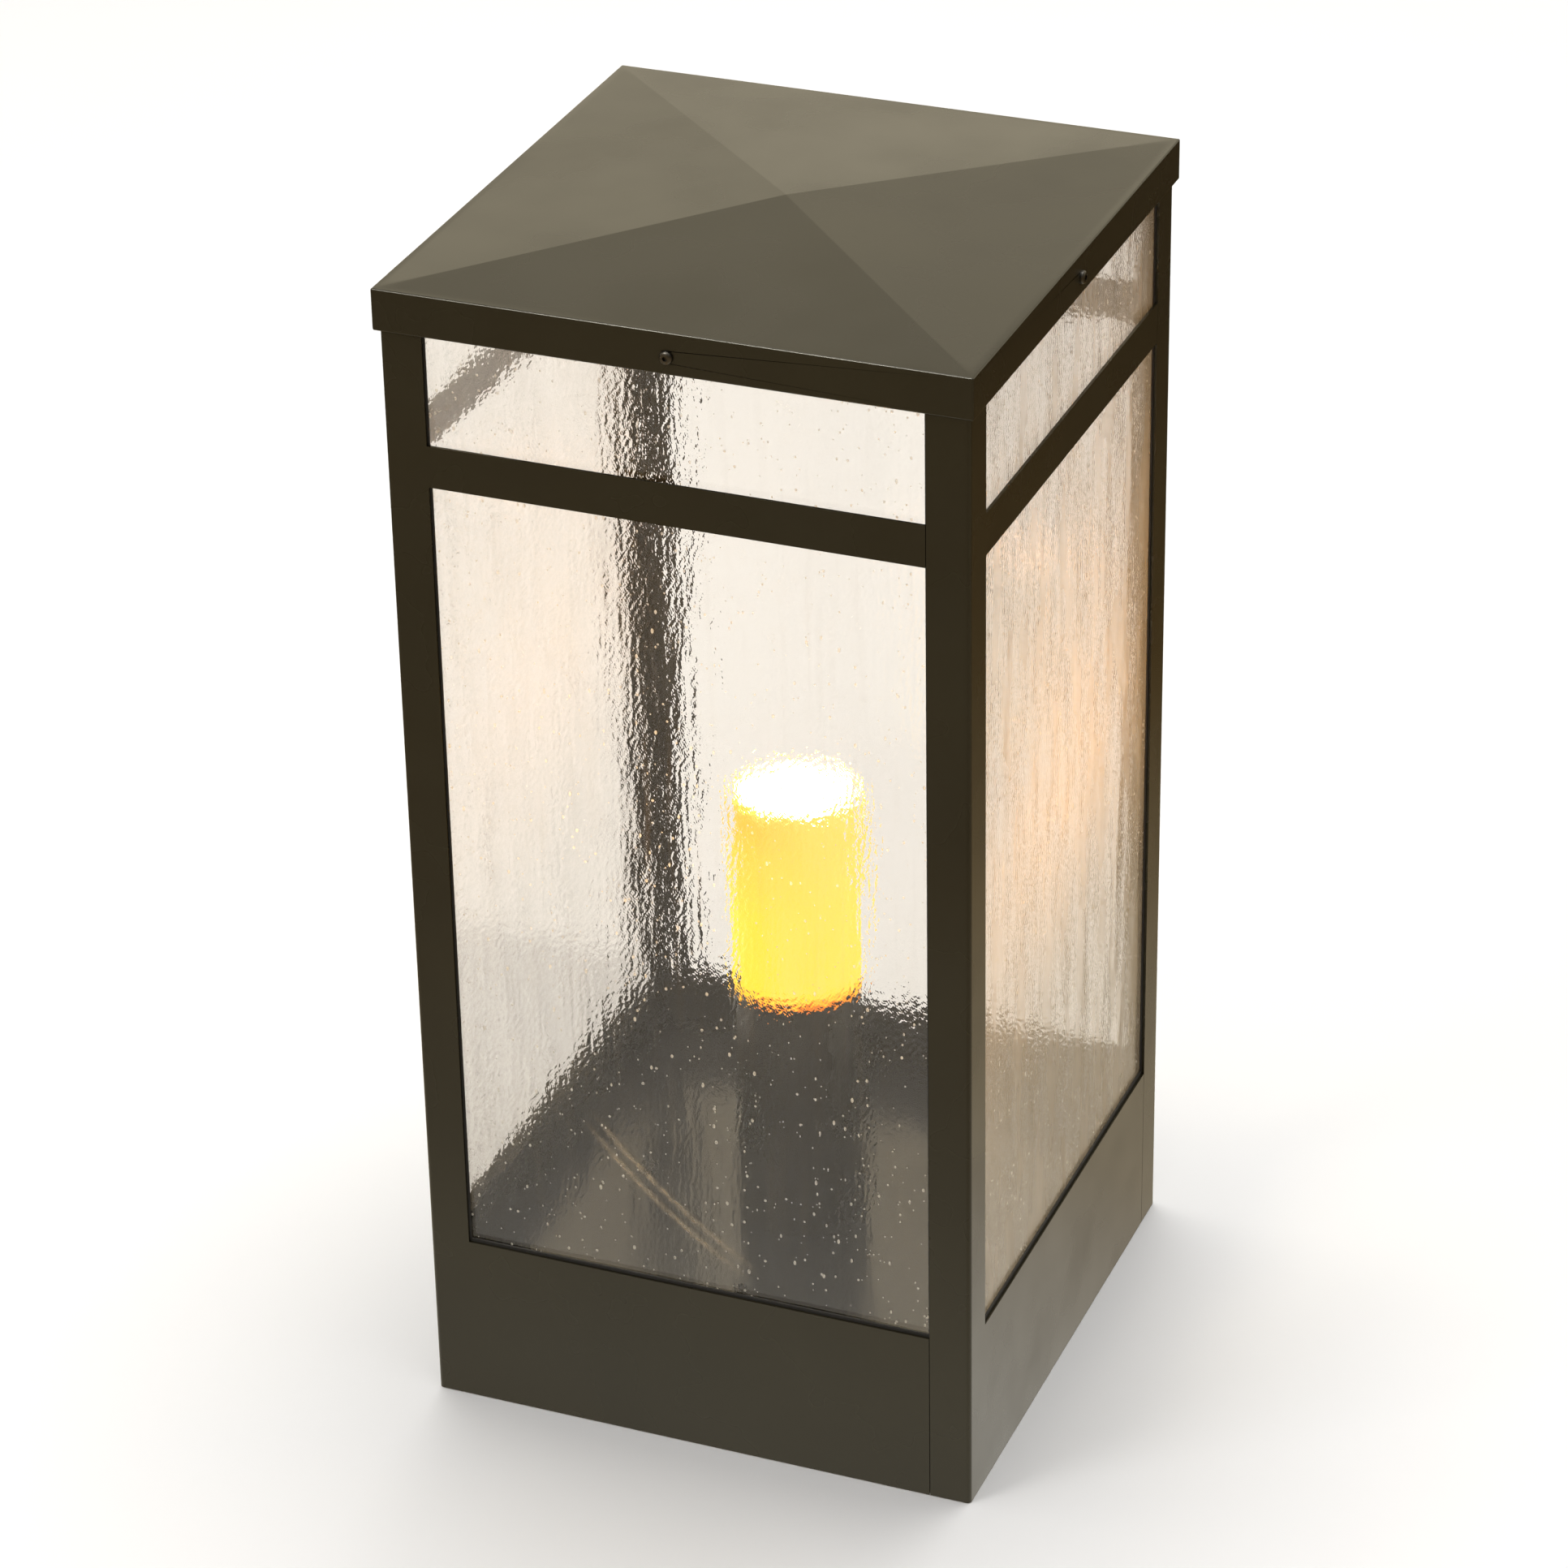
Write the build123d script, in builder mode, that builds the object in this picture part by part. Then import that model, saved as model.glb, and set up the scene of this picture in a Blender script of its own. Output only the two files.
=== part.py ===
"""Square lantern bollard light: folded side panels, seeded-glass panes, a candle lamp and a lift-off cap.

Millimetres. Origin at the centre of the base's underside, +Z up, front face towards -Y.
"""

import os

from build123d import *

# ---- driving dimensions --------------------------------------------------------------------------
BODY_WIDTH = 305.0
BODY_HEIGHT = 642.0
SHEET = 1.5
BEND_RADIUS = 2.5
POST_WIDTH = 22.3
SEAM_GAP = 0.4
SILL_HEIGHT = 98.5
MULLION_LOW = 542.6
MULLION_HIGH = 565.0
RAIL_LOW = 625.0

CAP_WIDTH = 310.0
CAP_SKIRT_LOW = 624.4
CAP_SKIRT_HIGH = 646.4
CAP_APEX = 655.5
CAP_SCREW_HEIGHT = 633.7

GLASS_THICK = 3.0
GLASS_ARRIS = 0.4
GLASS_HALF = 138.0
GLASS_LOW = 91.0
GLASS_HIGH = 629.3
GASKET_THICK = 1.0
GASKET_PROUD = 1.8
GASKET_PROUD_SIDE = 1.0
GUIDE_SHEET = 1.2
GUIDE_EDGE = 131.5
GUIDE_LOW = 92.0
GUIDE_HIGH = 640.0

DECK_TOP = 60.4
DECK_WIDTH = 298.4
DECK_LIP = 10.0
STANDOFF_RING = 92.0
STANDOFF_ACROSS_FLATS = 10.0

PEDESTAL_RADIUS = 35.0
PEDESTAL_WALL = 2.0
PEDESTAL_TOP = 203.0
CANDLE_WALL = 3.0
CANDLE_HEIGHT = 116.5
MOVING_GAP = 0.3

PLATE_THICK = 2.0
PLATE_LIP = 14.0
ANCHOR_SPACING = 200.0
ANCHOR_RADIUS = 5.5
WIRE_ENTRY_RADIUS = 20.0
BUSHING_HEIGHT = 10.0

# ---- sizes worked out from them ------------------------------------------------------------------
HALF = BODY_WIDTH / 2
INNER_HALF = HALF - SHEET
OPENING_HALF = HALF - POST_WIDTH
CAP_HALF = CAP_WIDTH / 2
GLASS_FACE = INNER_HALF - GASKET_THICK
GLASS_BACK = GLASS_FACE - GLASS_THICK
DECK_UNDERSIDE = DECK_TOP - SHEET

# Each side's turn about +Z, seen from above. A side's left post is folded from its own sheet.
SIDES = {"front": 0, "right": 90, "back": 180, "left": 270}
# The corner that each vertical guide stands in, named by the side on its left and the side on its right.
CORNERS = {"front_right": 0, "right_back": 90, "back_left": 180, "left_front": 270}

os.makedirs("parts", exist_ok=True)


def save(part, name):
    """Labels one finished piece and writes its STEP file."""
    part.label = name
    export_step(part, "parts/" + name + ".step")


def plan(angle, height=0.0):
    """The horizontal plane at a height, turned about +Z so that one side's outside faces its own -Y."""
    return Plane.XY.offset(height).rotated((0, 0, angle))


def facing(angle, distance):
    """The upright plane that faces outwards on one side, at a distance from the vertical axis."""
    outward = Vector(0, -1, 0).rotate(Axis.Z, angle)
    along = Vector(1, 0, 0).rotate(Axis.Z, angle)
    return Plane(origin=outward * distance, x_dir=along, z_dir=outward)


def across(angle, distance):
    """The upright plane at right angles to one side; its x runs from the axis outwards and its y runs up."""
    outward = Vector(0, -1, 0).rotate(Axis.Z, angle)
    along = Vector(1, 0, 0).rotate(Axis.Z, angle)
    return Plane(origin=along * distance, x_dir=outward, z_dir=along * -1)


# ---- side panels ---------------------------------------------------------------------------------
NOTCH_WIDTH = 4.8
NOTCH_DEPTH = BODY_HEIGHT - CAP_SCREW_HEIGHT

for side, turn in SIDES.items():
    with BuildPart() as panel:
        # Plan profile: the face, and the flange folded round the left corner to make the neighbour's post.
        with BuildSketch(plan(turn)):
            with BuildLine():
                Polyline(
                    (-HALF, -OPENING_HALF),
                    (-HALF, -HALF),
                    (OPENING_HALF - SEAM_GAP, -HALF),
                    (OPENING_HALF - SEAM_GAP, -INNER_HALF),
                    (-INNER_HALF, -INNER_HALF),
                    (-INNER_HALF, -OPENING_HALF),
                    close=True,
                )
            make_face()
            fillet(vertices().sort_by_distance((-HALF, -HALF, 0))[0], radius=BEND_RADIUS)
            fillet(vertices().sort_by_distance((-INNER_HALF, -INNER_HALF, 0))[0], radius=BEND_RADIUS - SHEET)
        extrude(amount=BODY_HEIGHT)
        # The two windows, open on the right where the neighbour's flange closes them.
        for low, high in ((SILL_HEIGHT, MULLION_LOW), (MULLION_HIGH, RAIL_LOW)):
            with BuildSketch(facing(turn, HALF + SHEET)):
                with Locations((0, (low + high) / 2)):
                    Rectangle(2 * OPENING_HALF, high - low)
            extrude(amount=-3 * SHEET, mode=Mode.SUBTRACT)
        # An open-topped notch lets a loosened cap screw lift away with the cap.
        with BuildSketch(facing(turn, HALF + SHEET)):
            with Locations((0, CAP_SCREW_HEIGHT)):
                Circle(NOTCH_WIDTH / 2)
            with Locations((0, CAP_SCREW_HEIGHT + NOTCH_DEPTH)):
                Rectangle(NOTCH_WIDTH, 2 * NOTCH_DEPTH)
        extrude(amount=-3 * SHEET, mode=Mode.SUBTRACT)
    save(panel.part, "side_panel_" + side)

# Angles spot-welded behind the butt seams of the base.
CLEAT_LEG = 34.0
CLEAT_LOW = 4.0
CLEAT_HIGH = 90.0

with BuildPart() as corner_cleats:
    for turn in CORNERS.values():
        with BuildSketch(plan(turn, CLEAT_LOW)):
            with BuildLine():
                Polyline(
                    (INNER_HALF - CLEAT_LEG, -INNER_HALF),
                    (INNER_HALF, -INNER_HALF),
                    (INNER_HALF, -INNER_HALF + CLEAT_LEG),
                    (INNER_HALF - SHEET, -INNER_HALF + CLEAT_LEG),
                    (INNER_HALF - SHEET, -INNER_HALF + SHEET),
                    (INNER_HALF - CLEAT_LEG, -INNER_HALF + SHEET),
                    close=True,
                )
            make_face()
            fillet(vertices().sort_by_distance((INNER_HALF, -INNER_HALF, 0))[0], radius=BEND_RADIUS)
        extrude(amount=CLEAT_HIGH - CLEAT_LOW)
save(corner_cleats.part, "corner_cleats")

# ---- glass, gaskets and what holds them ----------------------------------------------------------
for side, turn in SIDES.items():
    with BuildPart() as glass:
        with BuildSketch(facing(turn, GLASS_BACK)):
            with Locations((0, (GLASS_LOW + GLASS_HIGH) / 2)):
                Rectangle(2 * GLASS_HALF, GLASS_HIGH - GLASS_LOW)
        extrude(amount=GLASS_THICK)
        chamfer(glass.edges().filter_by(Axis.Z), length=GLASS_ARRIS)
    save(glass.part, "glass_" + side)

    with BuildPart() as gasket:
        with BuildSketch(facing(turn, GLASS_FACE)):
            with Locations((0, (GLASS_LOW + GLASS_HIGH) / 2)):
                Rectangle(2 * GLASS_HALF, GLASS_HIGH - GLASS_LOW)
            with Locations((0, (SILL_HEIGHT + RAIL_LOW) / 2)):
                Rectangle(
                    2 * (OPENING_HALF - GASKET_PROUD_SIDE),
                    RAIL_LOW - SILL_HEIGHT - 2 * GASKET_PROUD,
                    mode=Mode.SUBTRACT,
                )
        extrude(amount=GASKET_THICK)
    save(gasket.part, "glazing_gasket_" + side)

# Folded upright guides in the corners: their two inner legs hold the edges of two panes.
GUIDE_WEB = 139.0
GUIDE_CLEARANCE = 0.2
GUIDE_LEG_OUTER = GLASS_BACK - GUIDE_CLEARANCE
GUIDE_LEG_INNER = GUIDE_LEG_OUTER - GUIDE_SHEET

for corner, turn in CORNERS.items():
    with BuildPart() as guide:
        with BuildSketch(plan(turn, GUIDE_LOW)):
            with BuildLine():
                Polyline(
                    (GUIDE_WEB, -INNER_HALF),
                    (INNER_HALF, -INNER_HALF),
                    (INNER_HALF, -GUIDE_WEB),
                    (GUIDE_LEG_OUTER, -GUIDE_WEB),
                    (GUIDE_LEG_OUTER, -GUIDE_EDGE),
                    (GUIDE_LEG_INNER, -GUIDE_EDGE),
                    (GUIDE_LEG_INNER, -GUIDE_WEB - GUIDE_SHEET),
                    (INNER_HALF - GUIDE_SHEET, -GUIDE_WEB - GUIDE_SHEET),
                    (INNER_HALF - GUIDE_SHEET, -INNER_HALF + GUIDE_SHEET),
                    (GUIDE_WEB + GUIDE_SHEET, -INNER_HALF + GUIDE_SHEET),
                    (GUIDE_WEB + GUIDE_SHEET, -GUIDE_LEG_INNER),
                    (GUIDE_EDGE, -GUIDE_LEG_INNER),
                    (GUIDE_EDGE, -GUIDE_LEG_OUTER),
                    (GUIDE_WEB, -GUIDE_LEG_OUTER),
                    close=True,
                )
            make_face()
            fillet(vertices().sort_by_distance((INNER_HALF, -INNER_HALF, 0))[0], radius=BEND_RADIUS - SHEET)
        extrude(amount=GUIDE_HIGH - GUIDE_LOW)
    save(guide.part, "glass_guide_" + corner)

# Channels inside the sill that carry the panes, and the rubber blocks the panes stand on.
CHANNEL_HALF = 115.0
CHANNEL_LOW = 74.0
CHANNEL_FLOOR = 88.0
CHANNEL_DEPTH = 7.0
CHANNEL_TOP = 94.0
BLOCK_LENGTH = 24.0
BLOCK_PLACE = 90.0
CHANNEL_SHEET = 1.2

for side, turn in SIDES.items():
    with BuildPart() as channel:
        with BuildSketch(across(turn, CHANNEL_HALF)):
            with BuildLine():
                Polyline(
                    (INNER_HALF, CHANNEL_LOW),
                    (INNER_HALF, CHANNEL_FLOOR + CHANNEL_SHEET),
                    (INNER_HALF - CHANNEL_DEPTH + CHANNEL_SHEET, CHANNEL_FLOOR + CHANNEL_SHEET),
                    (INNER_HALF - CHANNEL_DEPTH + CHANNEL_SHEET, CHANNEL_TOP),
                    (INNER_HALF - CHANNEL_DEPTH, CHANNEL_TOP),
                    (INNER_HALF - CHANNEL_DEPTH, CHANNEL_FLOOR),
                    (INNER_HALF - CHANNEL_SHEET, CHANNEL_FLOOR),
                    (INNER_HALF - CHANNEL_SHEET, CHANNEL_LOW),
                    close=True,
                )
            make_face()
        extrude(amount=2 * CHANNEL_HALF)
    save(channel.part, "sill_channel_" + side)

with BuildPart() as setting_blocks:
    for turn in SIDES.values():
        with BuildSketch(plan(turn, CHANNEL_FLOOR + CHANNEL_SHEET)):
            with Locations(
                (-BLOCK_PLACE, -(GLASS_FACE + GLASS_BACK) / 2),
                (BLOCK_PLACE, -(GLASS_FACE + GLASS_BACK) / 2),
            ):
                Rectangle(BLOCK_LENGTH, GLASS_THICK)
        extrude(amount=GLASS_LOW - CHANNEL_FLOOR - CHANNEL_SHEET)
save(setting_blocks.part, "setting_blocks")

# ---- cap -----------------------------------------------------------------------------------------
APEX_FLAT = 0.6
SCREW_HOLE_RADIUS = 2.25
CAP_INNER_HALF = CAP_HALF - SHEET
CAP_CEILING = CAP_SKIRT_HIGH - SHEET


def pyramid(half, low, step, high):
    """A square block from low to step with a shallow pyramid from step to high."""
    with BuildPart() as block:
        with BuildSketch(Plane.XY.offset(low)):
            Rectangle(2 * half, 2 * half)
        extrude(amount=step - low)
        with BuildSketch(Plane.XY.offset(step)):
            Rectangle(2 * half, 2 * half)
        with BuildSketch(Plane.XY.offset(high)):
            Rectangle(APEX_FLAT, APEX_FLAT)
        loft(ruled=True)
    return block.part


with BuildPart() as cap:
    add(pyramid(CAP_HALF, CAP_SKIRT_LOW, CAP_SKIRT_HIGH, CAP_APEX))
    add(pyramid(CAP_INNER_HALF, CAP_SKIRT_LOW - SHEET, CAP_CEILING, CAP_APEX - SHEET), mode=Mode.SUBTRACT)
    for turn in SIDES.values():
        with Locations(facing(turn, CAP_HALF)):
            with Locations((0, CAP_SCREW_HEIGHT)):
                Hole(radius=SCREW_HOLE_RADIUS, depth=2 * SHEET)
save(cap.part, "cap")

# Foam seal stuck inside the cap, over the rim of the body.
SEAL_OUTER_HALF = 153.0
SEAL_INNER_HALF = 146.0

with BuildPart() as cap_seal:
    with BuildSketch(Plane.XY.offset(BODY_HEIGHT + MOVING_GAP)):
        Rectangle(2 * SEAL_OUTER_HALF, 2 * SEAL_OUTER_HALF)
        Rectangle(2 * SEAL_INNER_HALF, 2 * SEAL_INNER_HALF, mode=Mode.SUBTRACT)
    extrude(amount=CAP_CEILING - BODY_HEIGHT - MOVING_GAP)
save(cap_seal.part, "cap_seal")

# Four button-head screws and the square nuts behind the rail.
SCREW_RADIUS = 2.0
SCREW_HEAD_RADIUS = 3.5
SCREW_HEAD_HEIGHT = 2.3
SCREW_CROWN_RADIUS = 1.6
SCREW_LENGTH = 9.0
HEX_KEY = 2.5
HEX_KEY_DEPTH = 1.4
NUT_WIDTH = 7.0
NUT_THICK = 3.2
NUT_FACE = INNER_HALF - MOVING_GAP


def button_screw(shank):
    """A button-head screw standing on the XY plane: head above it, shank below."""
    with BuildPart() as screw:
        with BuildSketch():
            Circle(SCREW_HEAD_RADIUS)
        extrude(amount=SCREW_HEAD_HEIGHT)
        fillet(screw.edges().group_by(Axis.Z)[-1], radius=SCREW_CROWN_RADIUS)
        with BuildSketch(Plane.XY.offset(SCREW_HEAD_HEIGHT)):
            RegularPolygon(HEX_KEY / 2, 6, major_radius=False)
        extrude(amount=-HEX_KEY_DEPTH, mode=Mode.SUBTRACT)
        with BuildSketch():
            Circle(SCREW_RADIUS)
        extrude(amount=-shank)
    return screw.part


with BuildPart() as cap_screws:
    for turn in SIDES.values():
        with Locations(facing(turn, CAP_HALF)):
            with Locations((0, CAP_SCREW_HEIGHT)):
                add(button_screw(SCREW_LENGTH))
save(cap_screws.part, "cap_screws")

with BuildPart() as cap_nuts:
    for turn in SIDES.values():
        with BuildSketch(facing(turn, NUT_FACE)):
            with Locations((0, CAP_SCREW_HEIGHT)):
                Rectangle(NUT_WIDTH, NUT_WIDTH)
                Circle(SCREW_RADIUS, mode=Mode.SUBTRACT)
        extrude(amount=-NUT_THICK)
save(cap_nuts.part, "cap_nuts")

# ---- base plate and deck -------------------------------------------------------------------------
PLATE_CORNER = 4.0
LIP_HALF = 112.0
BUSH_SEAT_RADIUS = 23.0
BUSH_FLANGE_RADIUS = 27.0
BUSH_FLANGE_EDGE = 2.0
BUSH_FLANGE_ROOT = 3.0
BUSH_TOP_RADIUS = 22.5

with BuildPart() as base_plate:
    with BuildSketch():
        RectangleRounded(2 * INNER_HALF, 2 * INNER_HALF, PLATE_CORNER)
        Circle(BUSH_SEAT_RADIUS, mode=Mode.SUBTRACT)
        with GridLocations(ANCHOR_SPACING, ANCHOR_SPACING, 2, 2):
            Circle(ANCHOR_RADIUS, mode=Mode.SUBTRACT)
    extrude(amount=PLATE_THICK)
    for turn in SIDES.values():
        with BuildSketch(plan(turn, PLATE_THICK)):
            with Locations((0, -INNER_HALF + PLATE_THICK / 2)):
                Rectangle(2 * LIP_HALF, PLATE_THICK)
        extrude(amount=PLATE_LIP)
save(base_plate.part, "base_plate")

# Snap-in bushing round the wire entry; its bore is what the supply conduit comes up through.
with BuildPart() as wire_bushing:
    with BuildSketch(Plane.XZ):
        with BuildLine():
            Polyline(
                (WIRE_ENTRY_RADIUS, 0),
                (BUSH_SEAT_RADIUS, 0),
                (BUSH_SEAT_RADIUS, PLATE_THICK),
                (BUSH_FLANGE_RADIUS, PLATE_THICK),
                (BUSH_FLANGE_RADIUS, PLATE_THICK + BUSH_FLANGE_EDGE),
                (BUSH_SEAT_RADIUS, PLATE_THICK + BUSH_FLANGE_ROOT),
                (BUSH_TOP_RADIUS, BUSHING_HEIGHT),
                (WIRE_ENTRY_RADIUS, BUSHING_HEIGHT),
                close=True,
            )
        make_face()
    revolve(axis=Axis.Z)
save(wire_bushing.part, "wire_bushing")

DECK_BUSH_SEAT = 9.0
PEDESTAL_SCREW_RING = 25.0
PEDESTAL_SCREW_COUNT = 3
SMALL_SCREW_RADIUS = 1.75
SMALL_SCREW_CLEARANCE = 2.0
SMALL_SCREW_LENGTH = 6.0
SMALL_HEAD_RADIUS = 3.2
SMALL_HEAD_HEIGHT = 2.0
SMALL_CROWN_RADIUS = 0.9
DECK_CORNER = 3.0

with BuildPart() as deck:
    with BuildSketch(Plane.XY.offset(DECK_UNDERSIDE)):
        RectangleRounded(DECK_WIDTH, DECK_WIDTH, DECK_CORNER)
        Circle(DECK_BUSH_SEAT, mode=Mode.SUBTRACT)
        with PolarLocations(PEDESTAL_SCREW_RING, PEDESTAL_SCREW_COUNT):
            Circle(SMALL_SCREW_CLEARANCE, mode=Mode.SUBTRACT)
        with PolarLocations(STANDOFF_RING, 4):
            Circle(SCREW_HOLE_RADIUS, mode=Mode.SUBTRACT)
    extrude(amount=SHEET)
    for turn in SIDES.values():
        with BuildSketch(plan(turn, DECK_UNDERSIDE)):
            with Locations((0, -DECK_WIDTH / 2 + SHEET / 2)):
                Rectangle(2 * LIP_HALF, SHEET)
        extrude(amount=-DECK_LIP)
save(deck.part, "deck")

# Hexagonal stand-offs carry the deck above the base plate, and a screw holds it down on each.
STANDOFF_BORE_DEPTH = 12.0
STANDOFF_SCREW_LENGTH = 11.5

with BuildPart() as deck_standoffs:
    with BuildSketch(Plane.XY.offset(PLATE_THICK)):
        with PolarLocations(STANDOFF_RING, 4):
            RegularPolygon(STANDOFF_ACROSS_FLATS / 2, 6, major_radius=False)
    extrude(amount=DECK_UNDERSIDE - PLATE_THICK)
    with BuildSketch(Plane.XY.offset(DECK_UNDERSIDE)):
        with PolarLocations(STANDOFF_RING, 4):
            Circle(SCREW_RADIUS)
    extrude(amount=-STANDOFF_BORE_DEPTH, mode=Mode.SUBTRACT)
save(deck_standoffs.part, "deck_standoffs")

with BuildPart() as deck_screws:
    with Locations((0, 0, DECK_TOP)):
        with PolarLocations(STANDOFF_RING, 4):
            add(button_screw(STANDOFF_SCREW_LENGTH))
save(deck_screws.part, "deck_screws")

# ---- pedestal ------------------------------------------------------------------------------------
PEDESTAL_INNER = PEDESTAL_RADIUS - PEDESTAL_WALL
PEDESTAL_HOLE_RADIUS = 14.0
LID_THICK = 3.0
LID_LIP = 8.0
LID_LIP_WALL = 1.5
SPIGOT_HEIGHT = 4.0
SPIGOT_WALL = 2.0
CANDLE_RADIUS = PEDESTAL_RADIUS
CANDLE_INNER = CANDLE_RADIUS - CANDLE_WALL
SPIGOT_RADIUS = CANDLE_INNER - MOVING_GAP
NIPPLE_RADIUS = 5.0
NIPPLE_BORE = 3.6
LID_BASE = PEDESTAL_TOP - LID_THICK
DRAIN_RADIUS = 2.0
DRAIN_RING = 24.0

with BuildPart() as pedestal:
    with BuildSketch(Plane.XZ):
        with BuildLine():
            Polyline(
                (PEDESTAL_HOLE_RADIUS, DECK_TOP),
                (PEDESTAL_RADIUS, DECK_TOP),
                (PEDESTAL_RADIUS, LID_BASE),
                (PEDESTAL_INNER, LID_BASE),
                (PEDESTAL_INNER, DECK_TOP + PEDESTAL_WALL),
                (PEDESTAL_HOLE_RADIUS, DECK_TOP + PEDESTAL_WALL),
                close=True,
            )
        make_face()
    revolve(axis=Axis.Z)
    with BuildSketch(Plane.XY.offset(DECK_TOP)):
        with PolarLocations(PEDESTAL_SCREW_RING, PEDESTAL_SCREW_COUNT):
            Circle(SMALL_SCREW_RADIUS)
    extrude(amount=PEDESTAL_WALL, mode=Mode.SUBTRACT)
save(pedestal.part, "pedestal")

with BuildPart() as pedestal_screws:
    with BuildSketch(Plane.XY.offset(DECK_UNDERSIDE)):
        with PolarLocations(PEDESTAL_SCREW_RING, PEDESTAL_SCREW_COUNT):
            Circle(SMALL_HEAD_RADIUS)
    extrude(amount=-SMALL_HEAD_HEIGHT)
    fillet(pedestal_screws.edges().group_by(Axis.Z)[0], radius=SMALL_CROWN_RADIUS)
    with BuildSketch(Plane.XY.offset(DECK_UNDERSIDE)):
        with PolarLocations(PEDESTAL_SCREW_RING, PEDESTAL_SCREW_COUNT):
            Circle(SMALL_SCREW_RADIUS)
    extrude(amount=SMALL_SCREW_LENGTH)
save(pedestal_screws.part, "pedestal_screws")

# The pedestal's lid: a disc with a lip inside the tube and a spigot that centres the candle sleeve.
with BuildPart() as pedestal_lid:
    with BuildSketch(Plane.XZ):
        with BuildLine():
            Polyline(
                (NIPPLE_RADIUS, LID_BASE),
                (PEDESTAL_INNER - LID_LIP_WALL, LID_BASE),
                (PEDESTAL_INNER - LID_LIP_WALL, LID_BASE - LID_LIP),
                (PEDESTAL_INNER, LID_BASE - LID_LIP),
                (PEDESTAL_INNER, LID_BASE),
                (PEDESTAL_RADIUS, LID_BASE),
                (PEDESTAL_RADIUS, PEDESTAL_TOP),
                (SPIGOT_RADIUS, PEDESTAL_TOP),
                (SPIGOT_RADIUS, PEDESTAL_TOP + SPIGOT_HEIGHT),
                (SPIGOT_RADIUS - SPIGOT_WALL, PEDESTAL_TOP + SPIGOT_HEIGHT),
                (SPIGOT_RADIUS - SPIGOT_WALL, PEDESTAL_TOP),
                (NIPPLE_RADIUS, PEDESTAL_TOP),
                close=True,
            )
        make_face()
    revolve(axis=Axis.Z)
    with BuildSketch(Plane.XY.offset(PEDESTAL_TOP)):
        with PolarLocations(DRAIN_RING, 3, start_angle=60):
            Circle(DRAIN_RADIUS)
    extrude(amount=-LID_THICK, mode=Mode.SUBTRACT)
save(pedestal_lid.part, "pedestal_lid")

# Rubber bushing where the leads pass through the deck.
DECK_BUSH_BORE = 6.0
DECK_BUSH_LOW = DECK_UNDERSIDE - 2.0
DECK_BUSH_HIGH = DECK_TOP + 2.5
DECK_BUSH_FLANGE = 11.5
DECK_BUSH_TOP = 10.0

with BuildPart() as deck_bushing:
    with BuildSketch(Plane.XZ):
        with BuildLine():
            Polyline(
                (DECK_BUSH_BORE, DECK_BUSH_LOW),
                (DECK_BUSH_FLANGE, DECK_BUSH_LOW),
                (DECK_BUSH_FLANGE, DECK_UNDERSIDE),
                (DECK_BUSH_SEAT, DECK_UNDERSIDE),
                (DECK_BUSH_SEAT, DECK_TOP),
                (DECK_BUSH_FLANGE, DECK_TOP),
                (DECK_BUSH_TOP, DECK_BUSH_HIGH),
                (DECK_BUSH_BORE, DECK_BUSH_HIGH),
                close=True,
            )
        make_face()
    revolve(axis=Axis.Z)
save(deck_bushing.part, "deck_bushing")

# ---- lamp holder ---------------------------------------------------------------------------------
NIPPLE_LOW = 188.0
NIPPLE_HIGH = 213.0
HOLDER_LOW = 206.0
HOLDER_HIGH = 246.0
HOLDER_RADIUS = 19.0
HOLDER_FLOOR = 217.0
HOLDER_FOOT_RADIUS = 12.0
HOLDER_WAIST_RADIUS = 17.0
HOLDER_WAIST_LOW = 215.0
HOLDER_WAIST_HIGH = 232.0
HOLDER_SKIRT_LOW = 234.0
SHELL_RADIUS = 14.0
SHELL_WALL = 0.5
SHELL_HIGH = 244.0
NIPPLE_NUT_HEIGHT = 3.0
NIPPLE_NUT_FLATS = 14.0

with BuildPart() as threaded_nipple:
    with BuildSketch(Plane.XY.offset(NIPPLE_LOW)):
        Circle(NIPPLE_RADIUS)
        Circle(NIPPLE_BORE, mode=Mode.SUBTRACT)
    extrude(amount=NIPPLE_HIGH - NIPPLE_LOW)
save(threaded_nipple.part, "threaded_nipple")

with BuildPart() as nipple_nuts:
    for nut_low in (LID_BASE - NIPPLE_NUT_HEIGHT, PEDESTAL_TOP):
        with BuildSketch(Plane.XY.offset(nut_low)):
            RegularPolygon(NIPPLE_NUT_FLATS / 2, 6, major_radius=False)
            Circle(NIPPLE_RADIUS, mode=Mode.SUBTRACT)
        extrude(amount=NIPPLE_NUT_HEIGHT)
save(nipple_nuts.part, "nipple_nuts")

with BuildPart() as lamp_holder:
    with BuildSketch(Plane.XZ):
        with BuildLine():
            Polyline(
                (NIPPLE_RADIUS, HOLDER_LOW),
                (HOLDER_FOOT_RADIUS, HOLDER_LOW),
                (HOLDER_WAIST_RADIUS, HOLDER_WAIST_LOW),
                (HOLDER_WAIST_RADIUS, HOLDER_WAIST_HIGH),
                (HOLDER_RADIUS, HOLDER_SKIRT_LOW),
                (HOLDER_RADIUS, HOLDER_HIGH),
                (SHELL_RADIUS, HOLDER_HIGH),
                (SHELL_RADIUS, HOLDER_FLOOR),
                (NIPPLE_BORE, HOLDER_FLOOR),
                (NIPPLE_BORE, NIPPLE_HIGH),
                (NIPPLE_RADIUS, NIPPLE_HIGH),
                close=True,
            )
        make_face()
    revolve(axis=Axis.Z)
save(lamp_holder.part, "lamp_holder")

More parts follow.
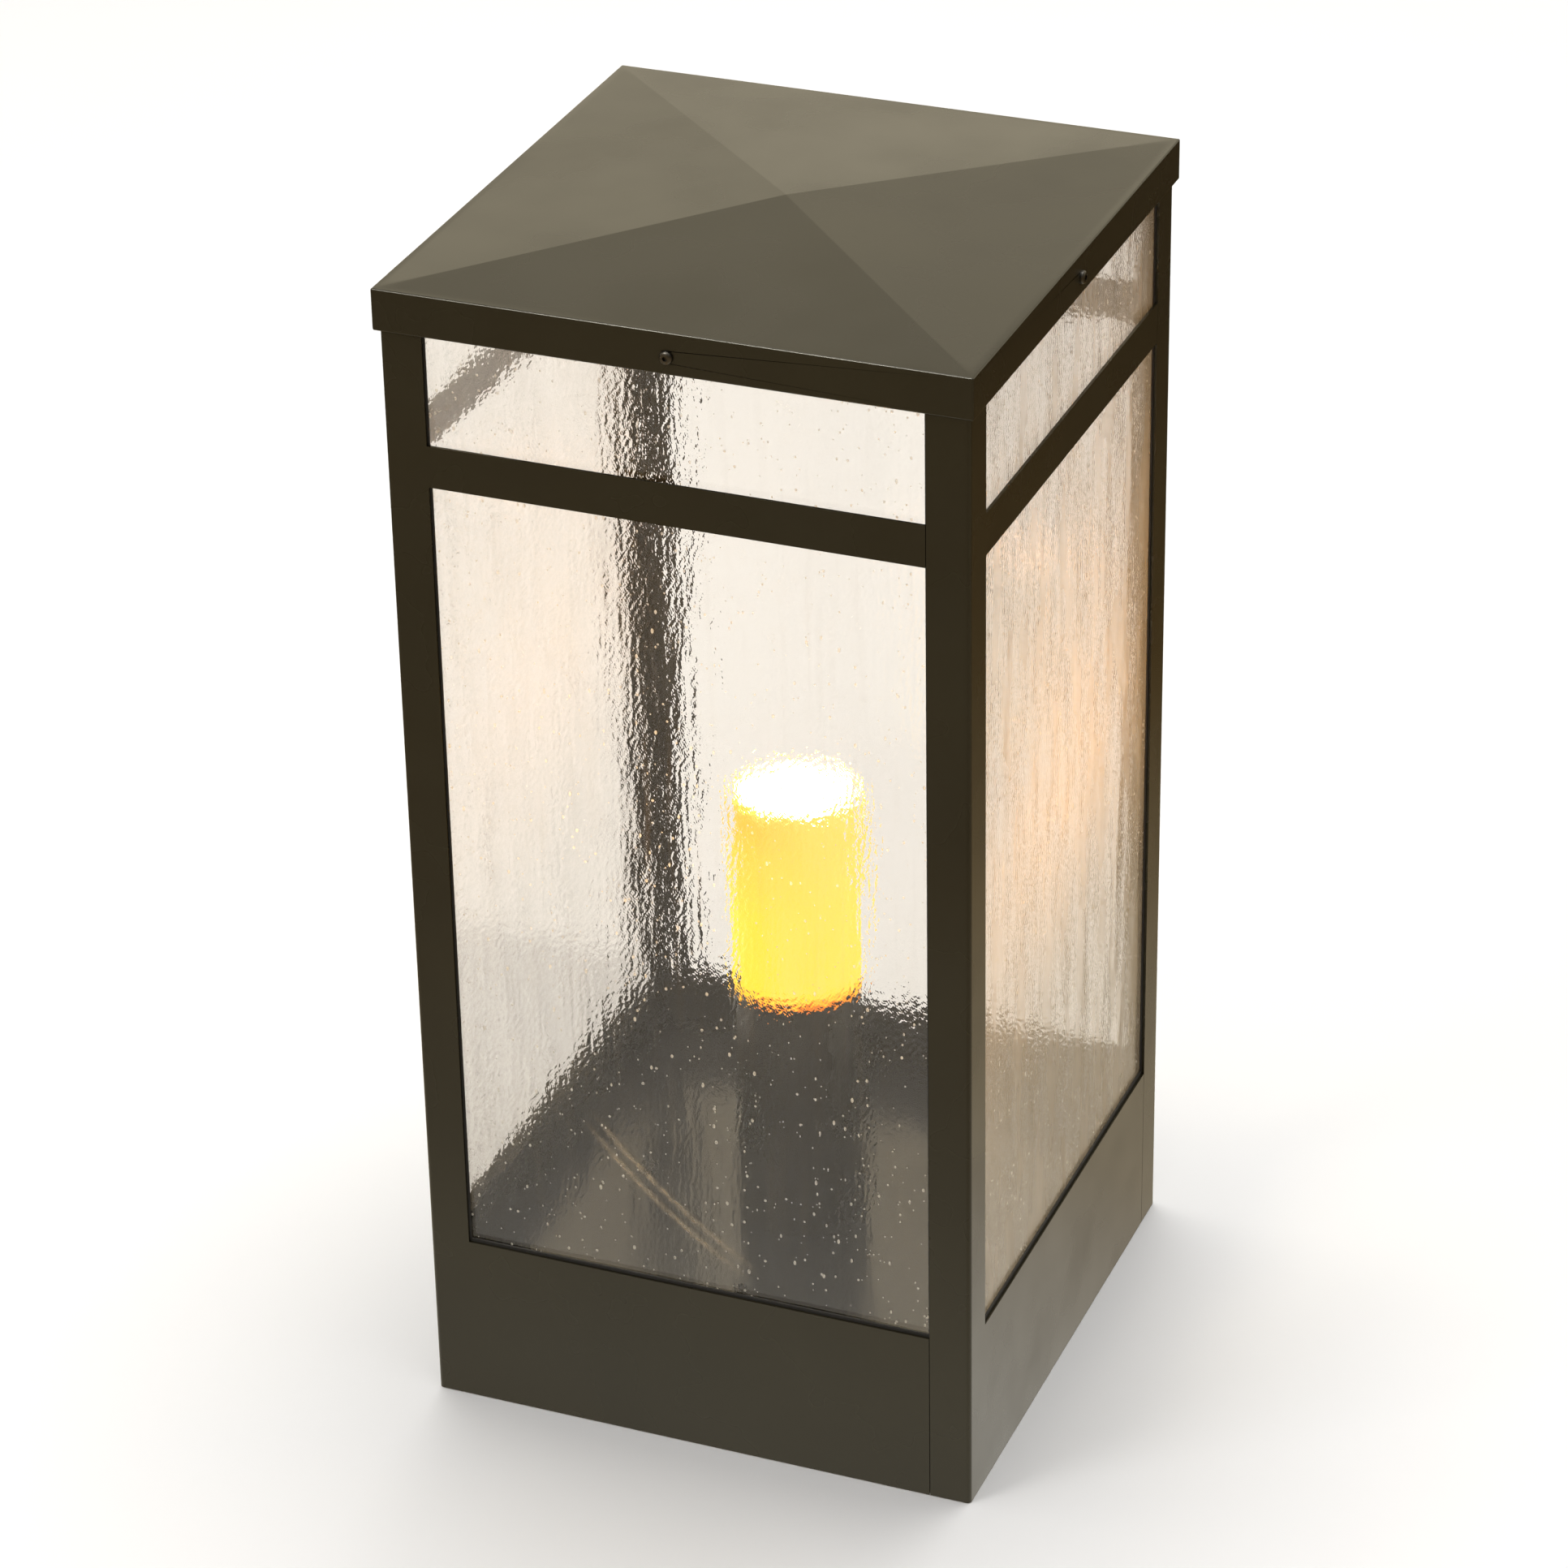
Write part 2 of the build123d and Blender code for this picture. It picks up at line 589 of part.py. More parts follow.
with BuildPart() as holder_shell:
    with BuildSketch(Plane.XY.offset(HOLDER_FLOOR)):
        Circle(SHELL_RADIUS)
        Circle(SHELL_RADIUS - SHELL_WALL, mode=Mode.SUBTRACT)
    extrude(amount=SHELL_HIGH - HOLDER_FLOOR)
save(holder_shell.part, "holder_shell")

# Sprung tongue under the lamp: a foot on the holder's floor and a raised tip on the axis.
CONTACT_WIDTH = 5.0
CONTACT_SHEET = 0.7
CONTACT_FOOT_END = -11.0
CONTACT_FOOT_BEND = -5.0
CONTACT_TIP_BEND = 1.5
CONTACT_TIP_END = 4.0
CONTACT_RISE = 3.2
CONTACT_MITRE = 0.2

with BuildPart() as centre_contact:
    with BuildSketch(Plane.XZ.offset(-CONTACT_WIDTH / 2)):
        with BuildLine():
            Polyline(
                (CONTACT_FOOT_END, HOLDER_FLOOR),
                (CONTACT_FOOT_BEND, HOLDER_FLOOR),
                (CONTACT_TIP_BEND, HOLDER_FLOOR + CONTACT_RISE),
                (CONTACT_TIP_END, HOLDER_FLOOR + CONTACT_RISE),
                (CONTACT_TIP_END, HOLDER_FLOOR + CONTACT_RISE + CONTACT_SHEET),
                (CONTACT_TIP_BEND - CONTACT_MITRE, HOLDER_FLOOR + CONTACT_RISE + CONTACT_SHEET),
                (CONTACT_FOOT_BEND - CONTACT_MITRE, HOLDER_FLOOR + CONTACT_SHEET),
                (CONTACT_FOOT_END, HOLDER_FLOOR + CONTACT_SHEET),
                close=True,
            )
        make_face()
    extrude(amount=CONTACT_WIDTH)
save(centre_contact.part, "centre_contact")

# ---- lamp ----------------------------------------------------------------------------------------
LAMP_TIP_LOW = 221.3
TIP_RADIUS = 3.5
TIP_SHOULDER_RADIUS = 4.5
TIP_SHOULDER = 222.3
TIP_TOP_RADIUS = 10.5
LAMP_CAP_LOW = 224.3
LAMP_CAP_HIGH = 249.0
LAMP_CAP_RADIUS = 13.0
THREAD_PITCH = 3.6
THREAD_DEPTH = 0.7
THREAD_TURNS = 5
THREAD_CUTTER = 0.3
FIRST_GROOVE = 3.24
COLLAR_HIGH = 262.0
COLLAR_RADIUS = 18.5
COLLAR_BAND_LOW = 259.0
GLOBE_RADIUS = 25.0
GLOBE_TOP = 311.0
GLOBE_WALL = 1.2
GLOBE_NECK = 17.0

with BuildPart() as lamp_tip:
    with BuildSketch(Plane.XZ):
        with BuildLine():
            Polyline(
                (0, LAMP_TIP_LOW),
                (TIP_RADIUS, LAMP_TIP_LOW),
                (TIP_SHOULDER_RADIUS, TIP_SHOULDER),
                (TIP_TOP_RADIUS, LAMP_CAP_LOW),
                (0, LAMP_CAP_LOW),
                close=True,
            )
        make_face()
    revolve(axis=Axis.Z)
save(lamp_tip.part, "lamp_tip")

with BuildPart() as lamp_cap:
    with BuildSketch(Plane.XY.offset(LAMP_CAP_LOW)):
        Circle(LAMP_CAP_RADIUS)
    extrude(amount=LAMP_CAP_HIGH - LAMP_CAP_LOW)
    # The rolled thread is stood in for by rings of its pitch and depth.
    for turn_number in range(THREAD_TURNS):
        groove_height = LAMP_CAP_LOW + FIRST_GROOVE + THREAD_PITCH * turn_number
        with BuildSketch(Plane.XZ):
            with Locations((LAMP_CAP_RADIUS + THREAD_CUTTER, groove_height)):
                Circle(THREAD_CUTTER + THREAD_DEPTH)
        revolve(axis=Axis.Z, mode=Mode.SUBTRACT)
save(lamp_cap.part, "lamp_cap")

with BuildPart() as lamp_collar:
    with BuildSketch(Plane.XZ):
        with BuildLine():
            Polyline(
                (0, LAMP_CAP_HIGH),
                (LAMP_CAP_RADIUS, LAMP_CAP_HIGH),
                (COLLAR_RADIUS, COLLAR_BAND_LOW),
                (COLLAR_RADIUS, COLLAR_HIGH),
                (0, COLLAR_HIGH),
                close=True,
            )
        make_face()
    revolve(axis=Axis.Z)
save(lamp_collar.part, "lamp_collar")

BOARD_RADIUS = 13.0
BOARD_THICK = 1.6
EMITTER_RING = 8.0
EMITTER_COUNT = 6
EMITTER_WIDTH = 2.8
EMITTER_THICK = 0.8

with BuildPart() as led_board:
    with BuildSketch(Plane.XY.offset(COLLAR_HIGH)):
        Circle(BOARD_RADIUS)
    extrude(amount=BOARD_THICK)
    with BuildSketch(Plane.XY.offset(COLLAR_HIGH + BOARD_THICK)):
        with PolarLocations(EMITTER_RING, EMITTER_COUNT):
            Rectangle(EMITTER_WIDTH, EMITTER_WIDTH)
        Rectangle(EMITTER_WIDTH, EMITTER_WIDTH)
    extrude(amount=EMITTER_THICK)
save(led_board.part, "led_board")


def globe_solid(inset):
    """The globe's outline turned solid, inset inwards: a straight neck under a ball."""
    ball = GLOBE_RADIUS - inset
    centre = GLOBE_TOP - GLOBE_RADIUS
    neck = GLOBE_NECK - inset
    rise = (ball**2 - neck**2) ** 0.5
    with BuildPart() as ball_and_neck:
        with BuildSketch(Plane.XZ):
            with BuildLine():
                Line((0, COLLAR_HIGH), (neck, COLLAR_HIGH))
                Line((neck, COLLAR_HIGH), (neck, centre - rise))
                ThreePointArc((neck, centre - rise), (ball, centre), (0, centre + ball))
                Line((0, centre + ball), (0, COLLAR_HIGH))
            make_face()
        revolve(axis=Axis.Z)
    return ball_and_neck.part


with BuildPart() as lamp_globe:
    add(globe_solid(0))
    add(globe_solid(GLOBE_WALL), mode=Mode.SUBTRACT)
save(lamp_globe.part, "lamp_globe")

# ---- candle sleeve -------------------------------------------------------------------------------
CANDLE_LOW = PEDESTAL_TOP + MOVING_GAP
CANDLE_HIGH = CANDLE_LOW + CANDLE_HEIGHT
RIM_RADIUS = 1.2

with BuildPart() as candle_sleeve:
    with BuildSketch(Plane.XZ):
        with BuildLine():
            Polyline(
                (CANDLE_INNER, CANDLE_LOW),
                (CANDLE_RADIUS, CANDLE_LOW),
                (CANDLE_RADIUS, CANDLE_HIGH),
                (CANDLE_INNER, CANDLE_HIGH),
                close=True,
            )
        make_face()
        fillet(vertices().group_by(Axis.Y)[-1], radius=RIM_RADIUS)
    revolve(axis=Axis.Z)
save(candle_sleeve.part, "candle_sleeve")

# ---- wiring in the base --------------------------------------------------------------------------
BLOCK_X = -62.0
BLOCK_Y = 40.0
BLOCK_SIZE_X = 20.0
BLOCK_SIZE_Y = 34.0
BLOCK_HEIGHT = 18.0
BLOCK_CORNER = 1.5
WAY_PITCH = 10.0
WAY_HEIGHT = 8.0
WAY_RADIUS = 2.2
WAYS = (-WAY_PITCH, 0.0, WAY_PITCH)
TERMINAL_SCREW_RADIUS = 2.0
TERMINAL_SCREW_DEPTH = 6.0
TERMINAL_SCREW_LENGTH = 4.5
TERMINAL_SCREW_OFFSET = 5.5
SLOT_WIDTH = 0.7
SLOT_DEPTH = 1.0
TERMINAL_SCREW_LOW = PLATE_THICK + BLOCK_HEIGHT - TERMINAL_SCREW_DEPTH
TERMINAL_SCREW_PLACES = [
    (BLOCK_X + offset, BLOCK_Y + way)
    for way in WAYS
    for offset in (-TERMINAL_SCREW_OFFSET, TERMINAL_SCREW_OFFSET)
]

with BuildPart() as terminal_block:
    with BuildSketch(Plane.XY.offset(PLATE_THICK)):
        with Locations((BLOCK_X, BLOCK_Y)):
            RectangleRounded(BLOCK_SIZE_X, BLOCK_SIZE_Y, BLOCK_CORNER)
    extrude(amount=BLOCK_HEIGHT)
    with BuildSketch(Plane.YZ.offset(BLOCK_X - BLOCK_SIZE_X / 2)):
        with Locations(*[(BLOCK_Y + way, PLATE_THICK + WAY_HEIGHT) for way in WAYS]):
            Circle(WAY_RADIUS)
    extrude(amount=BLOCK_SIZE_X, mode=Mode.SUBTRACT)
    with BuildSketch(Plane.XY.offset(PLATE_THICK + BLOCK_HEIGHT)):
        with Locations(*TERMINAL_SCREW_PLACES):
            Circle(TERMINAL_SCREW_RADIUS)
    extrude(amount=-TERMINAL_SCREW_DEPTH, mode=Mode.SUBTRACT)
save(terminal_block.part, "terminal_block")

with BuildPart() as terminal_screws:
    with BuildSketch(Plane.XY.offset(TERMINAL_SCREW_LOW)):
        with Locations(*TERMINAL_SCREW_PLACES):
            Circle(TERMINAL_SCREW_RADIUS)
    extrude(amount=TERMINAL_SCREW_LENGTH)
    with BuildSketch(Plane.XY.offset(TERMINAL_SCREW_LOW + TERMINAL_SCREW_LENGTH)):
        with Locations(*TERMINAL_SCREW_PLACES):
            Rectangle(2 * TERMINAL_SCREW_RADIUS, SLOT_WIDTH)
    extrude(amount=-SLOT_DEPTH, mode=Mode.SUBTRACT)
save(terminal_screws.part, "terminal_screws")

# Earth stud welded to the base plate, with its washer and nut.
EARTH_X = -62.0
EARTH_Y = -30.0
EARTH_RADIUS = 2.5
EARTH_HEIGHT = 16.0
EARTH_CHAMFER = 0.6
WASHER_RADIUS = 5.0
WASHER_THICK = 1.0
EARTH_NUT_FLATS = 8.0
EARTH_NUT_HEIGHT = 4.0
# Ring terminal between the washer and the nut, with the crimp barrel that the earth lead enters.
TERMINAL_THICK = 1.0
TERMINAL_RING_RADIUS = 4.8
TONGUE_WIDTH = 4.0
TONGUE_LENGTH = 12.0
BARREL_START = 9.0
BARREL_LENGTH = 6.0
BARREL_RADIUS = 2.2
BARREL_HEIGHT = 5.5

with BuildPart() as earth_stud:
    with BuildSketch(Plane.XY.offset(PLATE_THICK)):
        with Locations((EARTH_X, EARTH_Y)):
            Circle(EARTH_RADIUS)
    extrude(amount=EARTH_HEIGHT)
    chamfer(earth_stud.edges().group_by(Axis.Z)[-1], length=EARTH_CHAMFER)
save(earth_stud.part, "earth_stud")

with BuildPart() as earth_nut:
    with BuildSketch(Plane.XY.offset(PLATE_THICK)):
        with Locations((EARTH_X, EARTH_Y)):
            Circle(WASHER_RADIUS)
            Circle(EARTH_RADIUS, mode=Mode.SUBTRACT)
    extrude(amount=WASHER_THICK)
    with BuildSketch(Plane.XY.offset(PLATE_THICK + WASHER_THICK + TERMINAL_THICK)):
        with Locations((EARTH_X, EARTH_Y)):
            RegularPolygon(EARTH_NUT_FLATS / 2, 6, major_radius=False)
            Circle(EARTH_RADIUS, mode=Mode.SUBTRACT)
    extrude(amount=EARTH_NUT_HEIGHT)
save(earth_nut.part, "earth_nut")

with BuildPart() as earth_terminal:
    with BuildSketch(Plane.XY.offset(PLATE_THICK + WASHER_THICK)):
        with Locations((EARTH_X, EARTH_Y)):
            Circle(TERMINAL_RING_RADIUS)
        with Locations((EARTH_X, EARTH_Y + TONGUE_LENGTH / 2)):
            Rectangle(TONGUE_WIDTH, TONGUE_LENGTH)
        with Locations((EARTH_X, EARTH_Y)):
            Circle(EARTH_RADIUS, mode=Mode.SUBTRACT)
    extrude(amount=TERMINAL_THICK)
    with BuildSketch(Plane.XZ.offset(-(EARTH_Y + BARREL_START))):
        with Locations((EARTH_X, BARREL_HEIGHT)):
            Circle(BARREL_RADIUS)
    extrude(amount=-BARREL_LENGTH)
save(earth_terminal.part, "earth_terminal")

LEAD_RADIUS = 1.3
LEAD_BEND = 9.0


def lead(points):
    """A round lead along straight runs joined by tangent arcs; the first run sets the section's plane."""
    with BuildPart() as tube:
        with BuildLine() as route:
            FilletPolyline(*points, radius=LEAD_BEND)
        with BuildSketch(Plane(origin=route.line @ 0, z_dir=route.line % 0)):
            Circle(LEAD_RADIUS)
        sweep()
    return tube.part


LEAD_INSET = 4.0
LEAD_START_X = BLOCK_X + BLOCK_SIZE_X / 2 - LEAD_INSET
LEAD_HEIGHT = PLATE_THICK + WAY_HEIGHT
RISER_OFFSET = 1.8
RISER_TOP = HOLDER_FLOOR - 5.0
LIVE_RUN = 24.0
LIVE_RISE = 22.0
NEUTRAL_RUN = 30.0
NEUTRAL_RISE = 30.0
# The earth lead leaves the barrel, swings out past the block's end and comes back into its way.
EARTH_RUN = 19.0
EARTH_SWING = (-26.0, 22.0, 7.0)
EARTH_REACH = -30.0

LEAD_ROUTES = {
    "lead_live": (
        (LEAD_START_X, BLOCK_Y - WAY_PITCH, LEAD_HEIGHT),
        (LEAD_START_X + LIVE_RUN, BLOCK_Y - WAY_PITCH, LEAD_HEIGHT),
        (-RISER_OFFSET, 0.0, LEAD_HEIGHT + LIVE_RISE),
        (-RISER_OFFSET, 0.0, RISER_TOP),
    ),
    "lead_neutral": (
        (LEAD_START_X, BLOCK_Y, LEAD_HEIGHT),
        (LEAD_START_X + NEUTRAL_RUN, BLOCK_Y, LEAD_HEIGHT),
        (RISER_OFFSET, 0.0, LEAD_HEIGHT + NEUTRAL_RISE),
        (RISER_OFFSET, 0.0, RISER_TOP),
    ),
    "lead_earth": (
        (EARTH_X, EARTH_Y + BARREL_START + BARREL_LENGTH, BARREL_HEIGHT),
        (EARTH_X, EARTH_Y + BARREL_START + BARREL_LENGTH + EARTH_RUN, BARREL_HEIGHT),
        (EARTH_X + EARTH_SWING[0], EARTH_SWING[1], EARTH_SWING[2]),
        (EARTH_X + EARTH_REACH, BLOCK_Y + WAY_PITCH, LEAD_HEIGHT),
        (BLOCK_X - BLOCK_SIZE_X / 2 + LEAD_INSET, BLOCK_Y + WAY_PITCH, LEAD_HEIGHT),
    ),
}

for name, points in LEAD_ROUTES.items():
    save(lead(points), name)
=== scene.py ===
"""Looks of the square lantern light: finishes, seeded panes, candle, studio light and camera.

The CAD frame is loaded as it is. Lengths are metres in the shared frame.
"""

import math
import random

import bmesh
import bpy
from mathutils import Matrix, Vector, noise


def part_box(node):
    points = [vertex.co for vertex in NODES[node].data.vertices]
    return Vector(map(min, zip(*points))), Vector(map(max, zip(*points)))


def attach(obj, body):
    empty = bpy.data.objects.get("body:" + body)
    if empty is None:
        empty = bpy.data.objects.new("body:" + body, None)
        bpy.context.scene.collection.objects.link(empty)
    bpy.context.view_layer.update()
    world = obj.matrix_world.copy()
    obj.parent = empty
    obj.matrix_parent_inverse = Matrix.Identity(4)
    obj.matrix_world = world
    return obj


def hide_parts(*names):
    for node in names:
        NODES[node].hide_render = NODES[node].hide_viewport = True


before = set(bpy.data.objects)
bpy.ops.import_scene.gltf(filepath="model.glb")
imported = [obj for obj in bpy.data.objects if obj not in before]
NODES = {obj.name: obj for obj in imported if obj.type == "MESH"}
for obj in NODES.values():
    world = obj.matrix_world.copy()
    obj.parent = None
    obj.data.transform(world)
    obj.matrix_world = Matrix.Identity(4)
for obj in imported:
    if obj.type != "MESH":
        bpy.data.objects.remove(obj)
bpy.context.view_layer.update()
SIDES = ("front", "right", "back", "left")
CORNERS = ("front_right", "right_back", "back_left", "left_front")

# Nearly all of a noise texture's values lie between these.
NOISE_LOW = 0.3
NOISE_HIGH = 0.7


# ---- node helpers ----------------------------------------------------------------------
class Graph:
    """A small wrapper that adds nodes to one node tree and links them."""

    def __init__(self, tree):
        self.tree = tree
        tree.nodes.clear()

    def feed(self, socket, value):
        """Links an input to a socket, or sets it to a plain value."""
        if isinstance(value, bpy.types.NodeSocket):
            self.tree.links.new(value, socket)
        else:
            socket.default_value = value

    def add(self, kind, values=None, **settings):
        """A new node: settings are its properties, values its inputs by name or number."""
        made = self.tree.nodes.new(kind)
        for key, value in settings.items():
            setattr(made, key, value)
        for key, value in (values or {}).items():
            self.feed(made.inputs[key], value)
        return made

    def math(self, operation, *values, clamp=False):
        values = dict(enumerate(values))
        return self.add("ShaderNodeMath", values, operation=operation, use_clamp=clamp).outputs[0]

    def stretch(self, vector, factors):
        """A vector multiplied axis by axis."""
        made = self.add("ShaderNodeVectorMath", {0: vector, 1: factors}, operation="MULTIPLY")
        return made.outputs[0]

    def measure(self, operation, *vectors):
        """A length, distance or dot product of vectors."""
        made = self.add("ShaderNodeVectorMath", dict(enumerate(vectors)), operation=operation)
        return made.outputs["Value"]

    def ramp(self, fac, stops, interpolation="LINEAR"):
        """A colour ramp: stops are (position, colour) pairs."""
        made = self.add("ShaderNodeValToRGB", {0: fac})
        made.color_ramp.interpolation = interpolation
        elements = made.color_ramp.elements
        while len(elements) < len(stops):
            elements.new(0.5)
        for element, (position, colour) in zip(elements, stops):
            element.position = position
            element.color = (*colour, 1)
        return made.outputs[0]

    def span(self, value, low, high, to_low=0.0, to_high=1.0, smooth=False):
        """Maps low..high to to_low..to_high, held at the ends."""
        values = {0: value, 1: low, 2: high, 3: to_low, 4: to_high}
        made = self.add("ShaderNodeMapRange", values, clamp=True)
        if smooth:
            made.interpolation_type = "SMOOTHSTEP"
        return made.outputs[0]

    def spread(self, noise_fac, to_low=0.0, to_high=1.0):
        """Maps a noise's usual values to to_low..to_high."""
        return self.span(noise_fac, NOISE_LOW, NOISE_HIGH, to_low, to_high)

    def mix(self, fac, a, b):
        """Mixes two colours."""
        made = self.add("ShaderNodeMix", data_type="RGBA", clamp_factor=True)
        for socket, value in zip((made.inputs[0], made.inputs[6], made.inputs[7]), (fac, a, b)):
            self.feed(socket, (*value, 1) if isinstance(value, tuple) else value)
        return made.outputs[2]

    def blend(self, fac, a, b):
        """Mixes two shaders."""
        return self.add("ShaderNodeMixShader", {0: fac, 1: a, 2: b}).outputs[0]

    def place(self):
        """Object coordinates, which are the shared frame's metres."""
        return self.add("ShaderNodeTexCoord").outputs["Object"]

    def noise(self, vector, scale, detail, roughness=0.5):
        values = {"Vector": vector, "Scale": scale, "Detail": detail, "Roughness": roughness}
        return self.add("ShaderNodeTexNoise", values).outputs["Fac"]

    def grained_noise(self, vector, scales, detail, roughness=0.5):
        """Noise with its own scale along each axis."""
        return self.noise(self.stretch(vector, scales), 1.0, detail, roughness)

    def bump(self, height, depth=1.0):
        values = {"Height": height, "Strength": 1.0, "Distance": depth}
        return self.add("ShaderNodeBump", values).outputs[0]

    def principled(self, values):
        return self.add("ShaderNodeBsdfPrincipled", values).outputs[0]

    def surface(self, shader):
        self.add("ShaderNodeOutputMaterial", {"Surface": shader})


def material(name):
    made = bpy.data.materials.new(name)
    made.use_nodes = True
    return made, Graph(made.node_tree)


def finish(names, coat):
    """Gives CAD nodes a finish through their material slots."""
    for name in names:
        for slot in NODES[name].material_slots:
            slot.material = coat


# ---- finishes --------------------------------------------------------------------------
SHEEN_TINT = (1.0, 0.95, 0.80, 1.0)
COAT_IOR = 1.42
CLOUD_SCALE = 7.0
RUB_SCALE = 16.0
PEEL_SCALE = 380.0
PEEL_HEIGHT = 0.000006
WAVE_SCALE = 9.0
WAVE_HEIGHT = 0.0003

PLAIN_IOR = 1.5
GRAIN_FINER = 14.0
PATCH_SHARE = 0.6


def coated_metal(name, dark, light, rough, metallic=0.0):
    """Satin bronze coat on folded sheet: cloudy tone, fine orange peel, faint rubbed patches."""
    made, g = material(name)
    place = g.place()
    clouds = g.noise(place, CLOUD_SCALE, 3.0)
    rub = g.noise(place, RUB_SCALE, 3.0)
    peel = g.math("MULTIPLY", g.noise(place, PEEL_SCALE, 1.0, 0.4), PEEL_HEIGHT)
    waves = g.math("MULTIPLY", g.noise(place, WAVE_SCALE, 0.0), WAVE_HEIGHT)
    g.surface(g.principled({
        "Base Color": g.mix(g.spread(clouds), dark, light),
        "Roughness": g.spread(rub, *rough),
        "Metallic": metallic,
        "IOR": COAT_IOR,
        "Specular Tint": SHEEN_TINT,
        "Normal": g.bump(g.math("ADD", peel, waves)),
    }))
    return made


def plain_coat(name, dark, light, rough, scale, grain_depth, metallic):
    """Mottled colour, uneven gloss and fine grain: rubber, plastics, ceramic, plated parts."""
    made, g = material(name)
    place = g.place()
    patches = g.noise(place, scale, 4.0, 0.6)
    grain = g.noise(place, scale * GRAIN_FINER, 2.0, 0.55)
    from_patches = g.math("MULTIPLY", patches, PATCH_SHARE)
    from_grain = g.math("MULTIPLY", grain, 1.0 - PATCH_SHARE)
    g.surface(g.principled({
        "Base Color": g.mix(g.spread(patches), dark, light),
        "Roughness": g.spread(g.math("ADD", from_patches, from_grain), *rough),
        "Metallic": metallic,
        "IOR": PLAIN_IOR,
        "Normal": g.bump(grain, grain_depth),
    }))
    return made


finish(
    [f"side_panel_{side}" for side in SIDES] + ["cap", "pedestal", "pedestal_lid"],
    coated_metal("bronze_coat", (0.014, 0.0115, 0.0055), (0.022, 0.0185, 0.0095), (0.20, 0.32)),
)
finish(
    ["deck"],
    coated_metal("deck_coat", (0.112, 0.107, 0.100), (0.142, 0.137, 0.127), (0.14, 0.24), 0.85),
)
finish(
    ["corner_cleats", "base_plate"]
    + [f"glass_guide_{corner}" for corner in CORNERS]
    + [f"sill_channel_{side}" for side in SIDES],
    coated_metal("inner_coat", (0.010, 0.009, 0.006), (0.018, 0.016, 0.011), (0.35, 0.5)),
)

RUBBER_NODES = [f"glazing_gasket_{side}" for side in SIDES]
RUBBER_NODES += ["setting_blocks", "cap_seal", "wire_bushing", "deck_bushing"]
BRASS_NODES = ["holder_shell", "centre_contact", "lamp_cap", "lamp_tip", "terminal_screws"]
BRASS_NODES += ["earth_terminal"]
ZINC_NODES = ["cap_nuts", "deck_standoffs", "pedestal_screws", "threaded_nipple", "nipple_nuts"]
ZINC_NODES += ["earth_stud", "earth_nut"]
# Name, dark tone, light tone, roughness, patch scale, grain depth, metallic, nodes.
PLAIN_COATS = (
    ("gasket_rubber", (0.008, 0.008, 0.0075), (0.016, 0.015, 0.014), (0.6, 0.8),
     60.0, 0.00006, 0.0, RUBBER_NODES),
    ("darkened_steel", (0.05, 0.046, 0.038), (0.11, 0.1, 0.085), (0.28, 0.5),
     220.0, 0.00002, 1.0, ["cap_screws", "deck_screws"]),
    ("brass", (0.50, 0.33, 0.11), (0.72, 0.52, 0.22), (0.2, 0.42),
     120.0, 0.00002, 1.0, BRASS_NODES),
    ("zinc_plate", (0.42, 0.42, 0.40), (0.62, 0.61, 0.57), (0.25, 0.45),
     150.0, 0.00002, 1.0, ZINC_NODES),
    ("holder_ceramic", (0.62, 0.58, 0.50), (0.78, 0.75, 0.68), (0.45, 0.65),
     90.0, 0.00003, 0.0, ["lamp_holder"]),
    ("block_plastic", (0.016, 0.016, 0.016), (0.03, 0.03, 0.03), (0.42, 0.6),
     110.0, 0.00003, 0.0, ["terminal_block"]),
    ("collar_plastic", (0.74, 0.72, 0.66), (0.84, 0.82, 0.77), (0.25, 0.4),
     70.0, 0.00001, 0.0, ["lamp_collar"]),
    ("board_coat", (0.78, 0.77, 0.72), (0.88, 0.87, 0.84), (0.35, 0.55),
     130.0, 0.00001, 0.0, ["led_board"]),
    ("live_jacket", (0.012, 0.011, 0.010), (0.022, 0.020, 0.018), (0.38, 0.55),
     90.0, 0.00002, 0.0, ["lead_live"]),
    ("neutral_jacket", (0.66, 0.64, 0.58), (0.78, 0.76, 0.70), (0.38, 0.55),
     90.0, 0.00002, 0.0, ["lead_neutral"]),
    ("earth_jacket", (0.02, 0.14, 0.03), (0.04, 0.22, 0.05), (0.38, 0.55),
     90.0, 0.00002, 0.0, ["lead_earth"]),
)
for *coat_values, nodes in PLAIN_COATS:
    finish(nodes, plain_coat(*coat_values))


WELD_GAP = 0.00002
CAP_EASE = 0.0009
EASE_SEGMENTS = 3
EASE_ANGLE = math.radians(30)


def ease_edges(name, width):
    """Rounds a CAD node's sharp edges for the light, by modifiers."""
    piece = NODES[name]
    weld = piece.modifiers.new("weld", "WELD")
    weld.merge_threshold = WELD_GAP
    bevel = piece.modifiers.new("ease", "BEVEL")
    bevel.width = width
    bevel.segments = EASE_SEGMENTS
    bevel.limit_method = "ANGLE"
    bevel.angle_limit = EASE_ANGLE
    bevel.harden_normals = False
    weighted = piece.modifiers.new("weighted", "WEIGHTED_NORMAL")
    weighted.keep_sharp = False


ease_edges("cap", CAP_EASE)

# ---- candle and lamp -------------------------------------------------------------------
candle_low, candle_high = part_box("candle_sleeve")
CANDLE_AROUND = 160
CANDLE_UP = 44
CANDLE_WALL = 0.003
WAX_SWELL = 0.0005
LIP_WALL = 0.0048
LIP_DIP = 0.0028
LIP_ROUND = 0.0012
# The wall thickens towards the lip over this share of the height.
LIP_DEPTH = 0.12

WAX_BODY = (0.22, 0.12, 0.02, 1)
WAX_DRIFT = 0.016
WAX_BUMP = 0.0004
WAX_STREAK = (1.35, 0.88, 0.24)
# The globe's light, painted white on the inner wall at the mouth.
PAINTED_MOUTH_LIGHT = (3.4, 2.9, 1.9)
